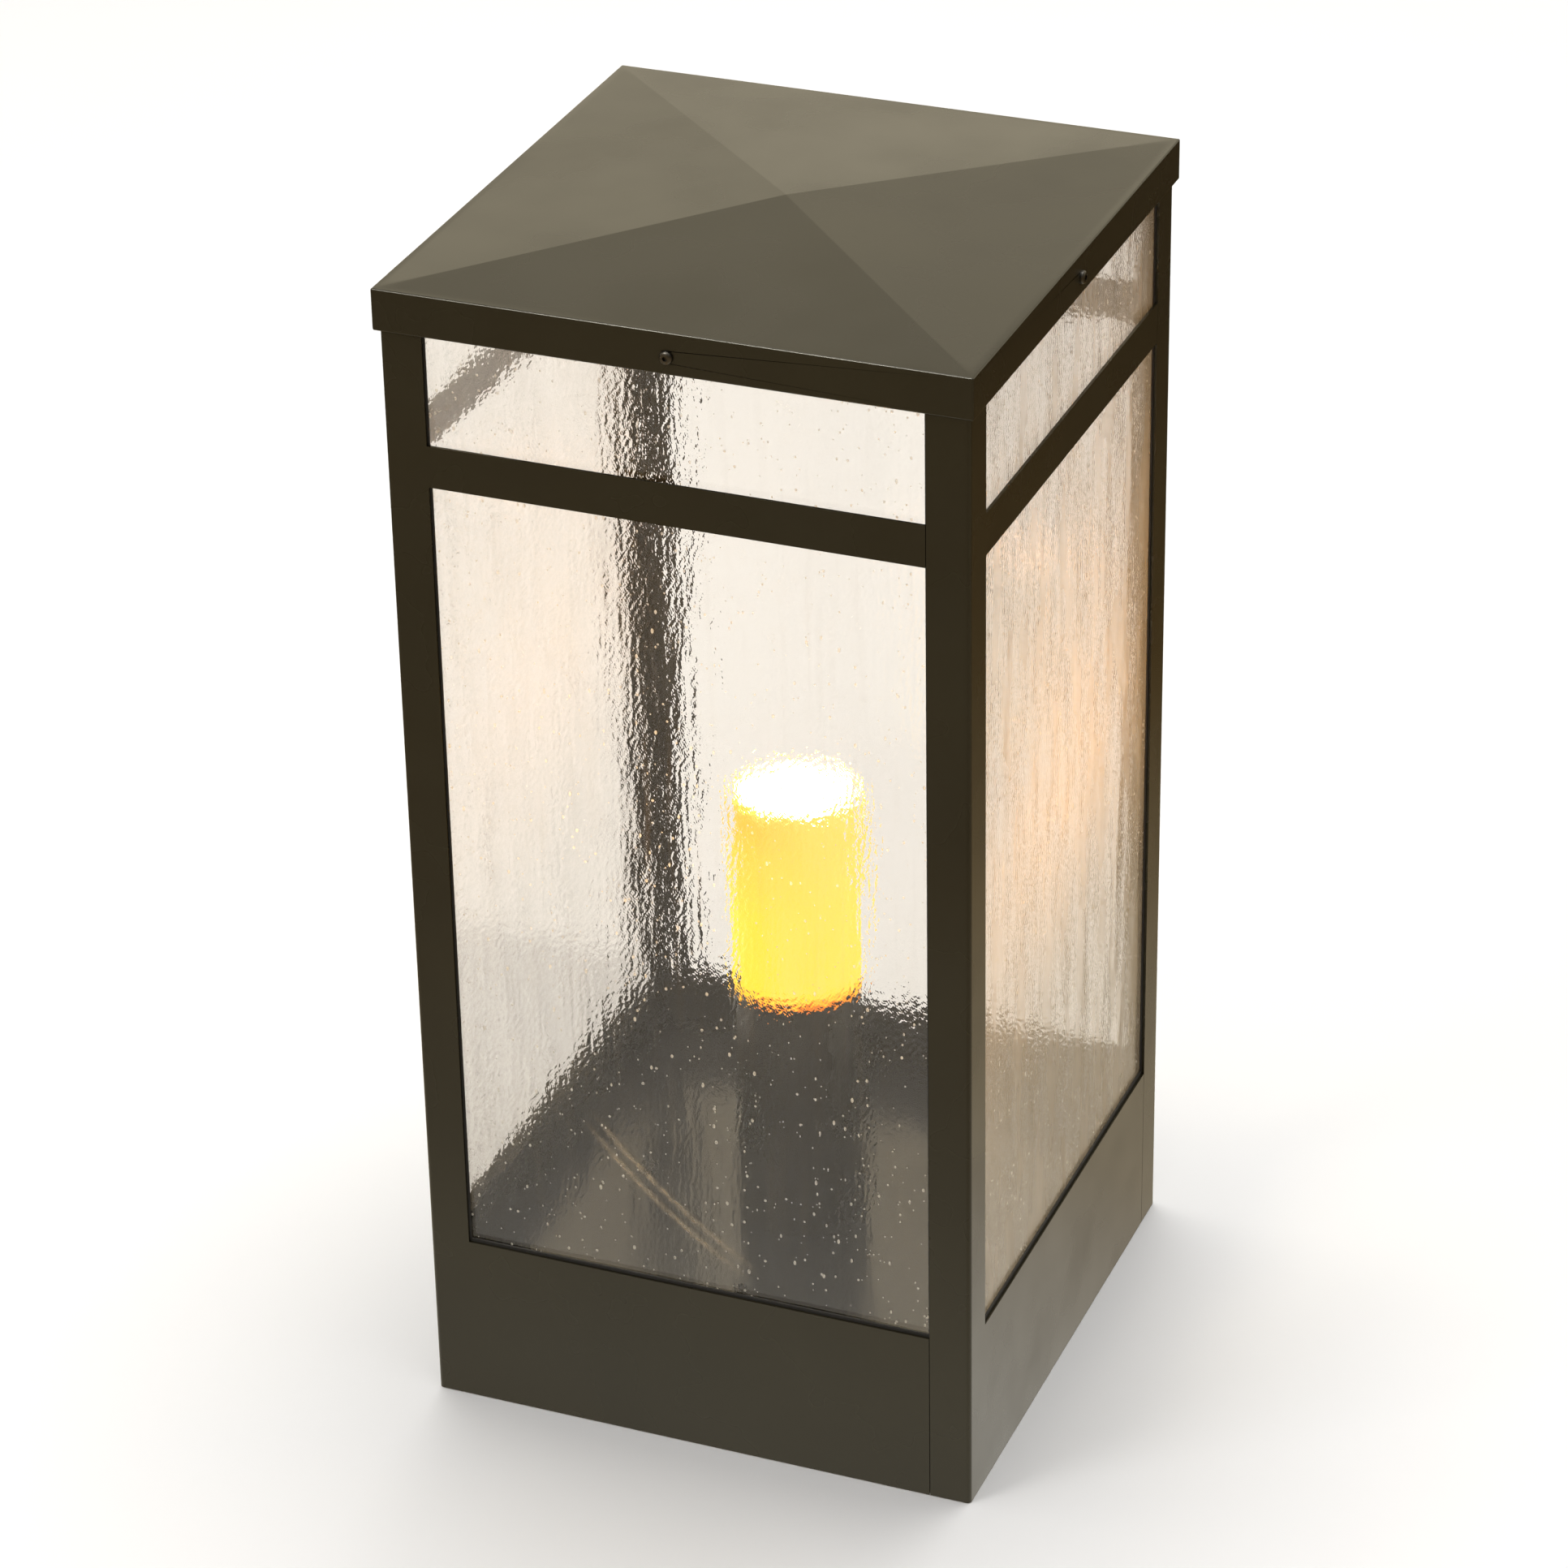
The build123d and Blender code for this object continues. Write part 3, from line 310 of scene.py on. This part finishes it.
# Glow by share of the height, on the bright side and on the left side, which is given a deeper
# orange as painted shade.
WAX_BRIGHT = [
    (0.0, (0.90, 0.20, 0.006)),
    (0.025, (1.22, 0.58, 0.008)),
    (0.05, (1.35, 0.87, 0.006)),
    (0.45, (1.35, 0.86, 0.03)),
    (0.88, (1.35, 0.78, 0.07)),
    (0.96, (1.38, 0.80, 0.10)),
    (1.0, (1.5, 0.93, 0.22)),
]
WAX_PAINTED_SHADE = [
    (0.0, (0.90, 0.20, 0.006)),
    (0.025, (1.22, 0.58, 0.006)),
    (0.05, (1.35, 0.90, 0.002)),
    (0.35, (1.35, 0.88, 0.004)),
    (0.70, (1.35, 0.76, 0.04)),
    (0.95, (1.32, 0.62, 0.03)),
    (1.0, (1.38, 0.80, 0.10)),
]
# The way towards the side that gets the painted shade.
PAINTED_SHADE_WAY = (-0.93, -0.37, 0.0)
# Where the wall keeps its yellow glow: how thick it counts, from this far below the rim upwards.
# Deeper in, the globe's light is painted white on the inner wall.
YELLOW_LOW, YELLOW_HIGH = 0.006, 0.001
YELLOW_THIN, YELLOW_THICK = 0.0022, LIP_WALL - 0.0008
# How the painted light of the globe comes in past that wall, from none to full.
MOUTH_LIGHT_START, MOUTH_LIGHT_END = -0.0005, 0.0003

GLOBE_BODY = (0.9, 0.86, 0.76, 1)
GLOBE_DIM = (4.6, 3.9, 2.6)
GLOBE_BRIGHT = (5.4, 4.7, 3.4)
FROST_SCALE = 380.0
FROST_BUMP = 0.00004


def candle_material():
    """Glowing wax: orange at the foot, saturated yellow up the body, deeper orange painted as
    shade on the left side, and the globe's light painted white on the inner wall at the mouth.
    """
    made, g = material("candle_wax")
    place = g.place()
    up = g.add("ShaderNodeSeparateXYZ", {0: place}).outputs[2]
    wobble = g.grained_noise(place, (60.0, 60.0, 18.0), 3.0)
    drift = g.math("MULTIPLY", g.math("SUBTRACT", wobble, 0.5), WAX_DRIFT)
    height = g.span(g.math("ADD", up, drift), candle_low.z, candle_high.z)
    bright = g.ramp(height, WAX_BRIGHT, "EASE")
    streak = g.grained_noise(place, (110.0, 110.0, 5.0), 3.0, 0.6)
    streaked = g.mix(g.span(streak, 0.35, 0.65, 0.25, 0.75), bright, WAX_STREAK)
    streaked = g.mix(g.span(height, 0.02, 0.08, 1.0, 0.0), streaked, bright)
    # Painted shade: the glow turns a deeper orange on the side towards the front left.
    leftwards = g.measure("DOT_PRODUCT", place, PAINTED_SHADE_WAY)
    painted_shade_share = g.span(leftwards, -candle_high.x * 0.2, candle_high.x * 0.8, 0.0, 0.95)
    skin = g.mix(painted_shade_share, streaked, g.ramp(height, WAX_PAINTED_SHADE, "EASE"))
    # Painted light: the inner wall near the mouth glows white, standing in for the globe's light
    # falling on it.
    from_axis = g.measure("LENGTH", g.stretch(place, (1.0, 1.0, 0.0)))
    rim = candle_high.z
    yellow_wall = g.span(up, rim - YELLOW_LOW, rim - YELLOW_HIGH, YELLOW_THIN, YELLOW_THICK)
    behind_wall = g.math("SUBTRACT", g.math("SUBTRACT", candle_high.x, from_axis), yellow_wall)
    painted_mouth_light = g.span(behind_wall, MOUTH_LIGHT_START, MOUTH_LIGHT_END)
    g.surface(g.principled({
        "Base Color": WAX_BODY,
        "Roughness": g.spread(wobble, 0.35, 0.55),
        "Emission Color": g.mix(painted_mouth_light, skin, PAINTED_MOUTH_LIGHT),
        "Emission Strength": 1.0,
        "Normal": g.bump(wobble, WAX_BUMP),
    }))
    return made


def globe_material():
    """The lamp's frosted globe, lit from inside."""
    made, g = material("globe_frost")
    frost = g.noise(g.place(), FROST_SCALE, 3.0, 0.55)
    g.surface(g.principled({
        "Base Color": GLOBE_BODY,
        "Roughness": 0.5,
        "Emission Color": g.mix(g.spread(frost), GLOBE_DIM, GLOBE_BRIGHT),
        "Emission Strength": 1.0,
        "Normal": g.bump(frost, FROST_BUMP),
    }))
    return made


def build_candle():
    """The wax-look sleeve: a tube with a softly uneven skin and a melted, thicker lip."""
    outer, inner = candle_high.x, candle_high.x - CANDLE_WALL
    mouth = outer - LIP_WALL
    # Each ring: radius, share of the height, lift above it in lip roundings.
    rings = [(outer, k / CANDLE_UP, 0) for k in range(CANDLE_UP + 1)]
    rings += [(outer - LIP_ROUND * 0.3, 1.0, 0.6), (outer - LIP_ROUND, 1.0, 1.0)]
    rings += [(mouth + LIP_ROUND * 0.6, 1.0, 1.0), (mouth, 1.0, 0.3)]
    for k in range(CANDLE_UP, -1, -1):
        narrowing = max(0.0, (k / CANDLE_UP - 1.0 + LIP_DEPTH) / LIP_DEPTH)
        rings.append((inner + (mouth - inner) * narrowing, k / CANDLE_UP, 0))
    verts, faces = [], []
    for radius, share, lift in rings:
        for turn in range(CANDLE_AROUND):
            angle = math.tau * turn / CANDLE_AROUND
            across = Vector((math.cos(angle), math.sin(angle), 0))
            melt = 0.45 + 0.9 * noise.noise(across * 1.7 + Vector((0, 0, 4.2)))
            top = candle_high.z - LIP_ROUND - LIP_DIP * min(1.0, max(0.0, melt))
            z = candle_low.z + (top - candle_low.z) * share + LIP_ROUND * lift
            uneven = noise.noise(Vector((across.x * 2.2, across.y * 2.2, z * 45.0)))
            swell = WAX_SWELL * (0.5 + 0.5 * uneven)
            reach = radius - swell if radius > inner + 0.001 else radius + swell * 0.5
            verts.append(Vector((across.x * reach, across.y * reach, z)))
    count = len(rings)
    for k in range(count):
        here, above = k * CANDLE_AROUND, (k + 1) % count * CANDLE_AROUND
        for turn in range(CANDLE_AROUND):
            beside = (turn + 1) % CANDLE_AROUND
            faces.append((here + turn, here + beside, above + beside, above + turn))
    mesh = bpy.data.meshes.new("candle_wax")
    mesh.from_pydata(verts, [], faces)
    mesh.shade_smooth()
    mesh.materials.append(candle_material())
    piece = bpy.data.objects.new("candle_wax", mesh)
    bpy.context.scene.collection.objects.link(piece)
    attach(piece, "candle")
    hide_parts("candle_sleeve")


build_candle()
finish(["lamp_globe"], globe_material())

# ---- seeded panes ----------------------------------------------------------------------
PANE_TINT = (0.928, 0.906, 0.872, 1)
PANE_CLEAR = (0.93, 0.91, 0.87, 1)
PANE_IOR = 1.46
# Ripples of the skin: noise scale across and up the pane, and height. Long upright reams,
# shorter strokes, fine specks.
RIPPLES = (
    ((290.0, 8.0, 1.0), 0.000035),
    ((440.0, 45.0, 1.0), 0.00008),
    ((540.0, 350.0, 1.0), 0.00013),
)
FILM_TINT = (0.68, 0.56, 0.41, 1)
# Share of dust film, from square-on to raking views, and on the sheltered sides.
FILM_FACING = (0.3, 0.8)
FILM_SHARES = (0.004, 0.42)
FILM_SHELTERED = 0.45
FILM_RUNS = 0.025
# A cloth has left two faint arcs low on the front pane: places are (x, z).
WIPE_CENTRE = (0.2132, 0.4163, 0.0)
WIPE_RADII = (0.3500, 0.3575)
WIPE_HALF_WIDTH = 0.0019
WIPE_REACH = 0.062
WIPE_MIDDLE = (-0.012, 0.1545, 0.0)
WIPE_SHARE = 0.5
# Planes just inside the right-hand pane and just behind the front one.
RIGHT_PLANE = (0.140, 0.143)
FRONT_PLANE = (-0.147, -0.145)

GRID_ALONG = 0.002
GRID_UP = 0.005
SKIN = 0.00018
# White that paints the bright glint of the air seeds.
SEED_GLINT_WHITE = (1.0, 0.99, 0.97, 1)
SEEDS = 1700
SEED_SMALLEST = 0.0003
SEED_SPREAD = 0.00055
SEED_FLATTEN = 0.85
SEED_MARGIN = 0.004


def film_on(g, flat):
    """The share of matt film on the glass: dust, dried runs and the two wiped arcs."""
    facing = g.add("ShaderNodeLayerWeight", {"Blend": 0.5}).outputs["Facing"]
    dusty = g.spread(g.grained_noise(flat, (60.0, 14.0, 1.0), 2.0), 0.75, 1.2)
    share = g.math("MULTIPLY", g.span(facing, *FILM_FACING, *FILM_SHARES), dusty)
    place = g.place()
    apart = g.add("ShaderNodeSeparateXYZ", {0: place}).outputs
    # The right-hand side has the weather, so its pane is the dustiest.
    share = g.math("MULTIPLY", share, g.span(apart[0], *RIGHT_PLANE, FILM_SHELTERED, 1.0))
    runs = g.grained_noise(flat, (210.0, 9.0, 1.0), 2.0)
    share = g.math("ADD", share, g.span(runs, 0.56, 0.78, 0.0, FILM_RUNS))
    upright = g.add("ShaderNodeCombineXYZ", {0: apart[0], 1: apart[2]}).outputs[0]
    from_centre = g.measure("DISTANCE", upright, WIPE_CENTRE)
    from_middle = g.measure("DISTANCE", upright, WIPE_MIDDLE)
    broken = g.span(g.noise(place, 260.0, 3.0, 0.6), 0.35, 0.65, 0.15, 1.0)
    fade = g.span(from_middle, WIPE_REACH * 0.5, WIPE_REACH, WIPE_SHARE, 0.0)
    on_front = g.span(apart[1], *FRONT_PLANE, 1.0, 0.0)
    fade = g.math("MULTIPLY", g.math("MULTIPLY", fade, broken), on_front)
    for radius in WIPE_RADII:
        off = g.math("ABSOLUTE", g.math("SUBTRACT", from_centre, radius))
        line = g.math("MULTIPLY", g.span(off, 0.0, WIPE_HALF_WIDTH, 1.0, 0.0), fade)
        share = g.math("ADD", share, line)
    return share


def glass_material():
    """Clear drawn glass with a rippled skin. Shadows and soft light pass through it."""
    made, g = material("seeded_glass")
    flat = g.add("ShaderNodeUVMap", uv_map="pane").outputs[0]
    height = None
    for scales, depth in RIPPLES:
        ripple = g.math("MULTIPLY", g.grained_noise(flat, scales, 1.0), depth)
        height = ripple if height is None else g.math("ADD", height, ripple)
    calm = g.span(g.grained_noise(flat, (30.0, 12.0, 1.0), 2.0), 0.35, 0.65, 0.5, 1.3)
    glass = g.principled({
        "Base Color": PANE_TINT,
        "Roughness": 0.0,
        "IOR": PANE_IOR,
        "Transmission Weight": 1.0,
        "Normal": g.bump(g.math("MULTIPLY", height, calm)),
    })
    lit_front = g.add("ShaderNodeBsdfDiffuse", {"Color": FILM_TINT}).outputs[0]
    lit_through = g.add("ShaderNodeBsdfTranslucent", {"Color": FILM_TINT}).outputs[0]
    seen = g.blend(film_on(g, flat), glass, g.blend(0.5, lit_front, lit_through))
    clear = g.add("ShaderNodeBsdfTransparent", {"Color": PANE_CLEAR}).outputs[0]
    path = g.add("ShaderNodeLightPath").outputs
    passing = g.math("MAXIMUM", path["Is Shadow Ray"], path["Is Diffuse Ray"])
    g.surface(g.blend(passing, seen, clear))
    return made


def seed_material():
    """The wall of an air seed: mostly clear, with patches of white that paint the bright glint it
    shows over dark.
    """
    made, g = material("air_seed")
    # Painted highlight: white patches on the seed wall stand in for the glint an air seed shows.
    painted_glint = g.noise(g.place(), 700.0, 2.0)
    clear = g.add("ShaderNodeBsdfTransparent", {"Color": (1, 1, 1, 1)}).outputs[0]
    front = g.add("ShaderNodeBsdfDiffuse", {"Color": SEED_GLINT_WHITE}).outputs[0]
    through = g.add("ShaderNodeBsdfTranslucent", {"Color": SEED_GLINT_WHITE}).outputs[0]
    g.surface(g.blend(g.spread(painted_glint, 0.2, 0.6), clear, g.blend(0.6, front, through)))
    return made


def ball():
    """The vertices and faces of a unit ball, wound inwards, as an air seed's wall is."""
    bm = bmesh.new()
    bmesh.ops.create_icosphere(bm, subdivisions=2, radius=1.0)
    verts = [vert.co.copy() for vert in bm.verts]
    faces = [[vert.index for vert in reversed(face.verts)] for face in bm.faces]
    bm.free()
    return verts, faces


GLASS = glass_material()
SEED = seed_material()
BALL_VERTS, BALL_FACES = ball()


def build_pane(side, seed):
    """One pane: a closed rippled sheet as large as its CAD node, with air seeds inside it."""
    low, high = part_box("glass_" + side)
    along_x = side in ("front", "back")
    start, end = (low.x, high.x) if along_x else (low.y, high.y)
    face_low, face_high = (low.y, high.y) if along_x else (low.x, high.x)
    width, height = end - start, high.z - low.z
    count_u, count_v = round(width / GRID_ALONG), round(height / GRID_UP)

    def point(u, v, w):
        return (u, w, v) if along_x else (w, u, v)

    def hollow(u, v, level):
        """How far the sheet dips below its flat face."""
        wide = noise.noise(Vector((u / 0.014, v / 0.12, seed * 7.3 + level * 3.1)))
        fine = noise.noise(Vector((u / 0.006, v / 0.035, seed * 11.7 + level * 5.9)))
        return SKIN * min(1.0, max(0.0, 0.5 + 0.5 * wide + 0.4 * fine))

    verts, faces = [], []
    for level, (face, inward) in enumerate(((face_low, 1), (face_high, -1))):
        for j in range(count_v + 1):
            v = low.z + height * j / count_v
            for i in range(count_u + 1):
                u = start + width * i / count_u
                edge = i in (0, count_u) or j in (0, count_v)
                verts.append(point(u, v, face + inward * (0.0 if edge else hollow(u, v, level))))
    row, sheet = count_u + 1, (count_u + 1) * (count_v + 1)
    for level in (0, 1):
        for j in range(count_v):
            for i in range(count_u):
                corner = level * sheet + j * row + i
                quad = (corner, corner + 1, corner + row + 1, corner + row)
                faces.append(quad if (level == 0) == along_x else quad[::-1])
    rim = [(0, i) for i in range(count_u)] + [(j, count_u) for j in range(count_v)]
    rim += [(count_v, i) for i in range(count_u, 0, -1)] + [(j, 0) for j in range(count_v, 0, -1)]
    for (j0, i0), (j1, i1) in zip(rim, rim[1:] + rim[:1]):
        here, there = j0 * row + i0, j1 * row + i1
        quad = (here, sheet + here, sheet + there, there)
        faces.append(quad if along_x else quad[::-1])

    pane_faces = len(faces)
    rng = random.Random(seed)
    middle = (face_low + face_high) / 2
    for _ in range(SEEDS):
        radius = SEED_SMALLEST + SEED_SPREAD * rng.random() ** 2.6
        tall = radius * (1.0 + 1.1 * rng.random() ** 2)
        room = (face_high - face_low) / 2 - SKIN - radius * SEED_FLATTEN
        centre = Vector(point(
            rng.uniform(start + SEED_MARGIN, end - SEED_MARGIN),
            rng.uniform(low.z + SEED_MARGIN, high.z - SEED_MARGIN),
            middle + rng.uniform(-room, room),
        ))
        size = Vector(point(radius, tall, radius * SEED_FLATTEN))
        base = len(verts)
        verts.extend(centre + corner * size for corner in BALL_VERTS)
        faces.extend([base + index for index in face] for face in BALL_FACES)
    mesh = bpy.data.meshes.new("seeded_pane_" + side)
    mesh.from_pydata(verts, [], faces)
    mesh.materials.append(GLASS)
    mesh.materials.append(SEED)
    seed_faces = len(faces) - pane_faces
    mesh.polygons.foreach_set("material_index", [0] * pane_faces + [1] * seed_faces)
    across = 0 if along_x else 1
    places = [mesh.vertices[loop.vertex_index].co for loop in mesh.loops]
    flat = mesh.uv_layers.new(name="pane")
    flat.data.foreach_set("uv", [number for co in places for number in (co[across], co[2])])
    mesh.shade_smooth()
    piece = bpy.data.objects.new("seeded_pane_" + side, mesh)
    bpy.context.scene.collection.objects.link(piece)
    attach(piece, "housing")
    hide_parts("glass_" + side)


for number, side in enumerate(SIDES):
    build_pane(side, number + 1)

# ---- floor, light and camera -----------------------------------------------------------
FLOOR_RADIUS = 60.0
FLOOR_SEGMENTS = 96
FLOOR_DROP = 0.0005
FLOOR_PALE = ((0.86, 0.868, 0.89), (0.885, 0.893, 0.915))
# What gloss sees of the floor, by distance from the object as a share of the reach: a painted
# reflection that glows, not the pale floor.
FLOOR_REACH = 1.4
FLOOR_BESIDE = [
    (0.0, (0.70, 0.58, 0.40)),
    (0.14, (0.80, 0.68, 0.50)),
    (0.24, (0.80, 0.67, 0.46)),
    (0.40, (0.50, 0.37, 0.20)),
    (0.60, (0.20, 0.12, 0.04)),
    (1.0, (0.08, 0.05, 0.02)),
]
FLOOR_AHEAD = [
    (0.0, (1.25, 1.20, 1.10)),
    (0.17, (1.15, 1.10, 0.98)),
    (0.34, (0.85, 0.75, 0.58)),
    (0.55, (0.55, 0.42, 0.26)),
    (0.80, (0.50, 0.38, 0.22)),
    (1.0, (0.50, 0.38, 0.22)),
]
AHEAD_WAY = (0.35, -0.937, 0.0)

# The world by height: bright and low at the back of the room, dim and warm at its front.
BACK_WAY = (-0.35, 0.937, 0.0)
WORLD_BACK = [
    (0.0, (1.42, 1.28, 0.98)),
    (0.32, (1.45, 1.31, 1.0)),
    (0.40, (1.30, 1.17, 0.88)),
    (0.55, (0.74, 0.68, 0.55)),
    (1.0, (0.62, 0.62, 0.62)),
]
WORLD_FRONT = [
    (0.0, (0.25, 0.17, 0.08)),
    (0.45, (0.32, 0.28, 0.22)),
    (0.8, (0.62, 0.62, 0.62)),
]

GLOW_WATTS = 3.0
GLOW_COLOUR = (1.0, 0.56, 0.18)
GLOW_RADIUS = 0.02
GLOW_ABOVE = 0.006

CAMERA_AZIMUTH = math.radians(22.17)
CAMERA_ELEVATION = math.radians(28.97)
CAMERA_ROLL = math.radians(-1.09)
CAMERA_DISTANCE = 2.872
CAMERA_AIM = Vector((-0.006, -0.0024, 0.3215))
CAMERA_LENS = 125.5
CAMERA_SENSOR = 36.0
CAMERA_FAR = 200.0

LIGHT_BOUNCES = 16
CLEAR_BOUNCES = 24


def build_floor():
    """A pale floor. Glossy rays see a painted reflection instead, a glow that fades to a warm
    dark away from the object.
    """
    made, g = material("studio_floor")
    place = g.place()
    mottle = g.noise(place, 1.6, 4.0, 0.6)
    matt = g.add("ShaderNodeBsdfDiffuse", {"Color": g.mix(g.spread(mottle), *FLOOR_PALE)})
    away = g.measure("LENGTH", g.stretch(place, (1.0, 1.0, 0.0)))
    reach = g.span(away, 0.0, FLOOR_REACH)
    ahead = g.span(g.measure("DOT_PRODUCT", place, AHEAD_WAY), -0.1, 0.15)
    colour = g.mix(ahead, g.ramp(reach, FLOOR_BESIDE), g.ramp(reach, FLOOR_AHEAD))
    # Painted reflection: glossy rays see this glow in place of the pale floor.
    painted_reflection = g.add("ShaderNodeEmission", {"Color": colour})
    path = g.add("ShaderNodeLightPath").outputs
    reflected = g.math("SUBTRACT", path["Is Glossy Ray"], path["Is Transmission Ray"], clamp=True)
    g.surface(g.blend(reflected, matt.outputs[0], painted_reflection.outputs[0]))
    bm = bmesh.new()
    bmesh.ops.create_circle(bm, cap_ends=True, segments=FLOOR_SEGMENTS, radius=FLOOR_RADIUS)
    mesh = bpy.data.meshes.new("floor")
    bm.to_mesh(mesh)
    bm.free()
    mesh.materials.append(made)
    floor = bpy.data.objects.new("floor", mesh)
    floor.location.z = -FLOOR_DROP
    bpy.context.scene.collection.objects.link(floor)


def build_world():
    """The room around the floor."""
    world = bpy.data.worlds.new("studio")
    bpy.context.scene.world = world
    world.use_nodes = True
    g = Graph(world.node_tree)
    way = g.add("ShaderNodeTexCoord").outputs["Generated"]
    up = g.add("ShaderNodeSeparateXYZ", {0: way}).outputs[2]
    behind = g.span(g.measure("DOT_PRODUCT", way, BACK_WAY), -0.2, 0.5, smooth=True)
    colour = g.mix(behind, g.ramp(up, WORLD_FRONT, "EASE"), g.ramp(up, WORLD_BACK))
    room = g.add("ShaderNodeBackground", {0: colour, 1: 1.0})
    g.add("ShaderNodeOutputWorld", {0: room.outputs[0]})


def build_glow():
    """The candle's own warm light on the inside of the lantern; it rides with the candle."""
    data = bpy.data.lights.new("candle_glow", "POINT")
    data.shadow_soft_size = GLOW_RADIUS
    data.energy = GLOW_WATTS
    data.color = GLOW_COLOUR
    glow = bpy.data.objects.new("candle_glow", data)
    glow.location = (0.0, 0.0, candle_high.z + GLOW_ABOVE)
    glow.visible_camera = False
    glow.visible_glossy = False
    glow.visible_transmission = False
    bpy.context.scene.collection.objects.link(glow)
    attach(glow, "candle")


def build_lamp(name, place, aim, size, watts, colour=(1, 1, 1)):
    """A round soft light that the camera doesn't see."""
    data = bpy.data.lights.new(name, "AREA")
    data.shape = "DISK"
    data.size = size
    data.energy = watts
    data.color = colour
    lamp = bpy.data.objects.new(name, data)
    lamp.location = place
    lamp.rotation_euler = (Vector(aim) - Vector(place)).to_track_quat("-Z", "Y").to_euler()
    lamp.visible_camera = False
    bpy.context.scene.collection.objects.link(lamp)
    return lamp


def build_camera():
    data = bpy.data.cameras.new("camera")
    data.sensor_width = CAMERA_SENSOR
    data.lens = CAMERA_LENS
    data.clip_end = CAMERA_FAR
    camera = bpy.data.objects.new("camera", data)
    flat = math.cos(CAMERA_ELEVATION)
    towards = Vector((
        math.sin(CAMERA_AZIMUTH) * flat,
        -math.cos(CAMERA_AZIMUTH) * flat,
        math.sin(CAMERA_ELEVATION),
    ))
    stand = Matrix.Translation(CAMERA_AIM + towards * CAMERA_DISTANCE)
    turn = (-towards).to_track_quat("-Z", "Y").to_matrix().to_4x4()
    camera.matrix_world = stand @ turn @ Matrix.Rotation(CAMERA_ROLL, 4, "Z")
    bpy.context.scene.collection.objects.link(camera)
    bpy.context.scene.camera = camera


build_floor()
build_world()
build_lamp("overhead", (0.0, 0.9, 4.3), (0.0, 0.6, 0.0), 3.2, 118.0, (0.97, 0.98, 1.0))
build_lamp("key", (-1.6, -2.2, 2.6), (0.0, 0.0, 0.35), 1.3, 28.0, (1.0, 0.97, 0.92))
# Only gloss sees this one, which draws the light line on the cap's front rim.
rim_glint = build_lamp("rim_glint", (-1.0, -1.5, 3.1), (0.0, -0.15, 0.64), 0.55, 60.0)
rim_glint.visible_diffuse = False
build_glow()
build_camera()

scene = bpy.context.scene
scene.view_settings.view_transform = "Standard"
scene.cycles.max_bounces = LIGHT_BOUNCES
scene.cycles.transmission_bounces = LIGHT_BOUNCES
scene.cycles.transparent_max_bounces = CLEAR_BOUNCES
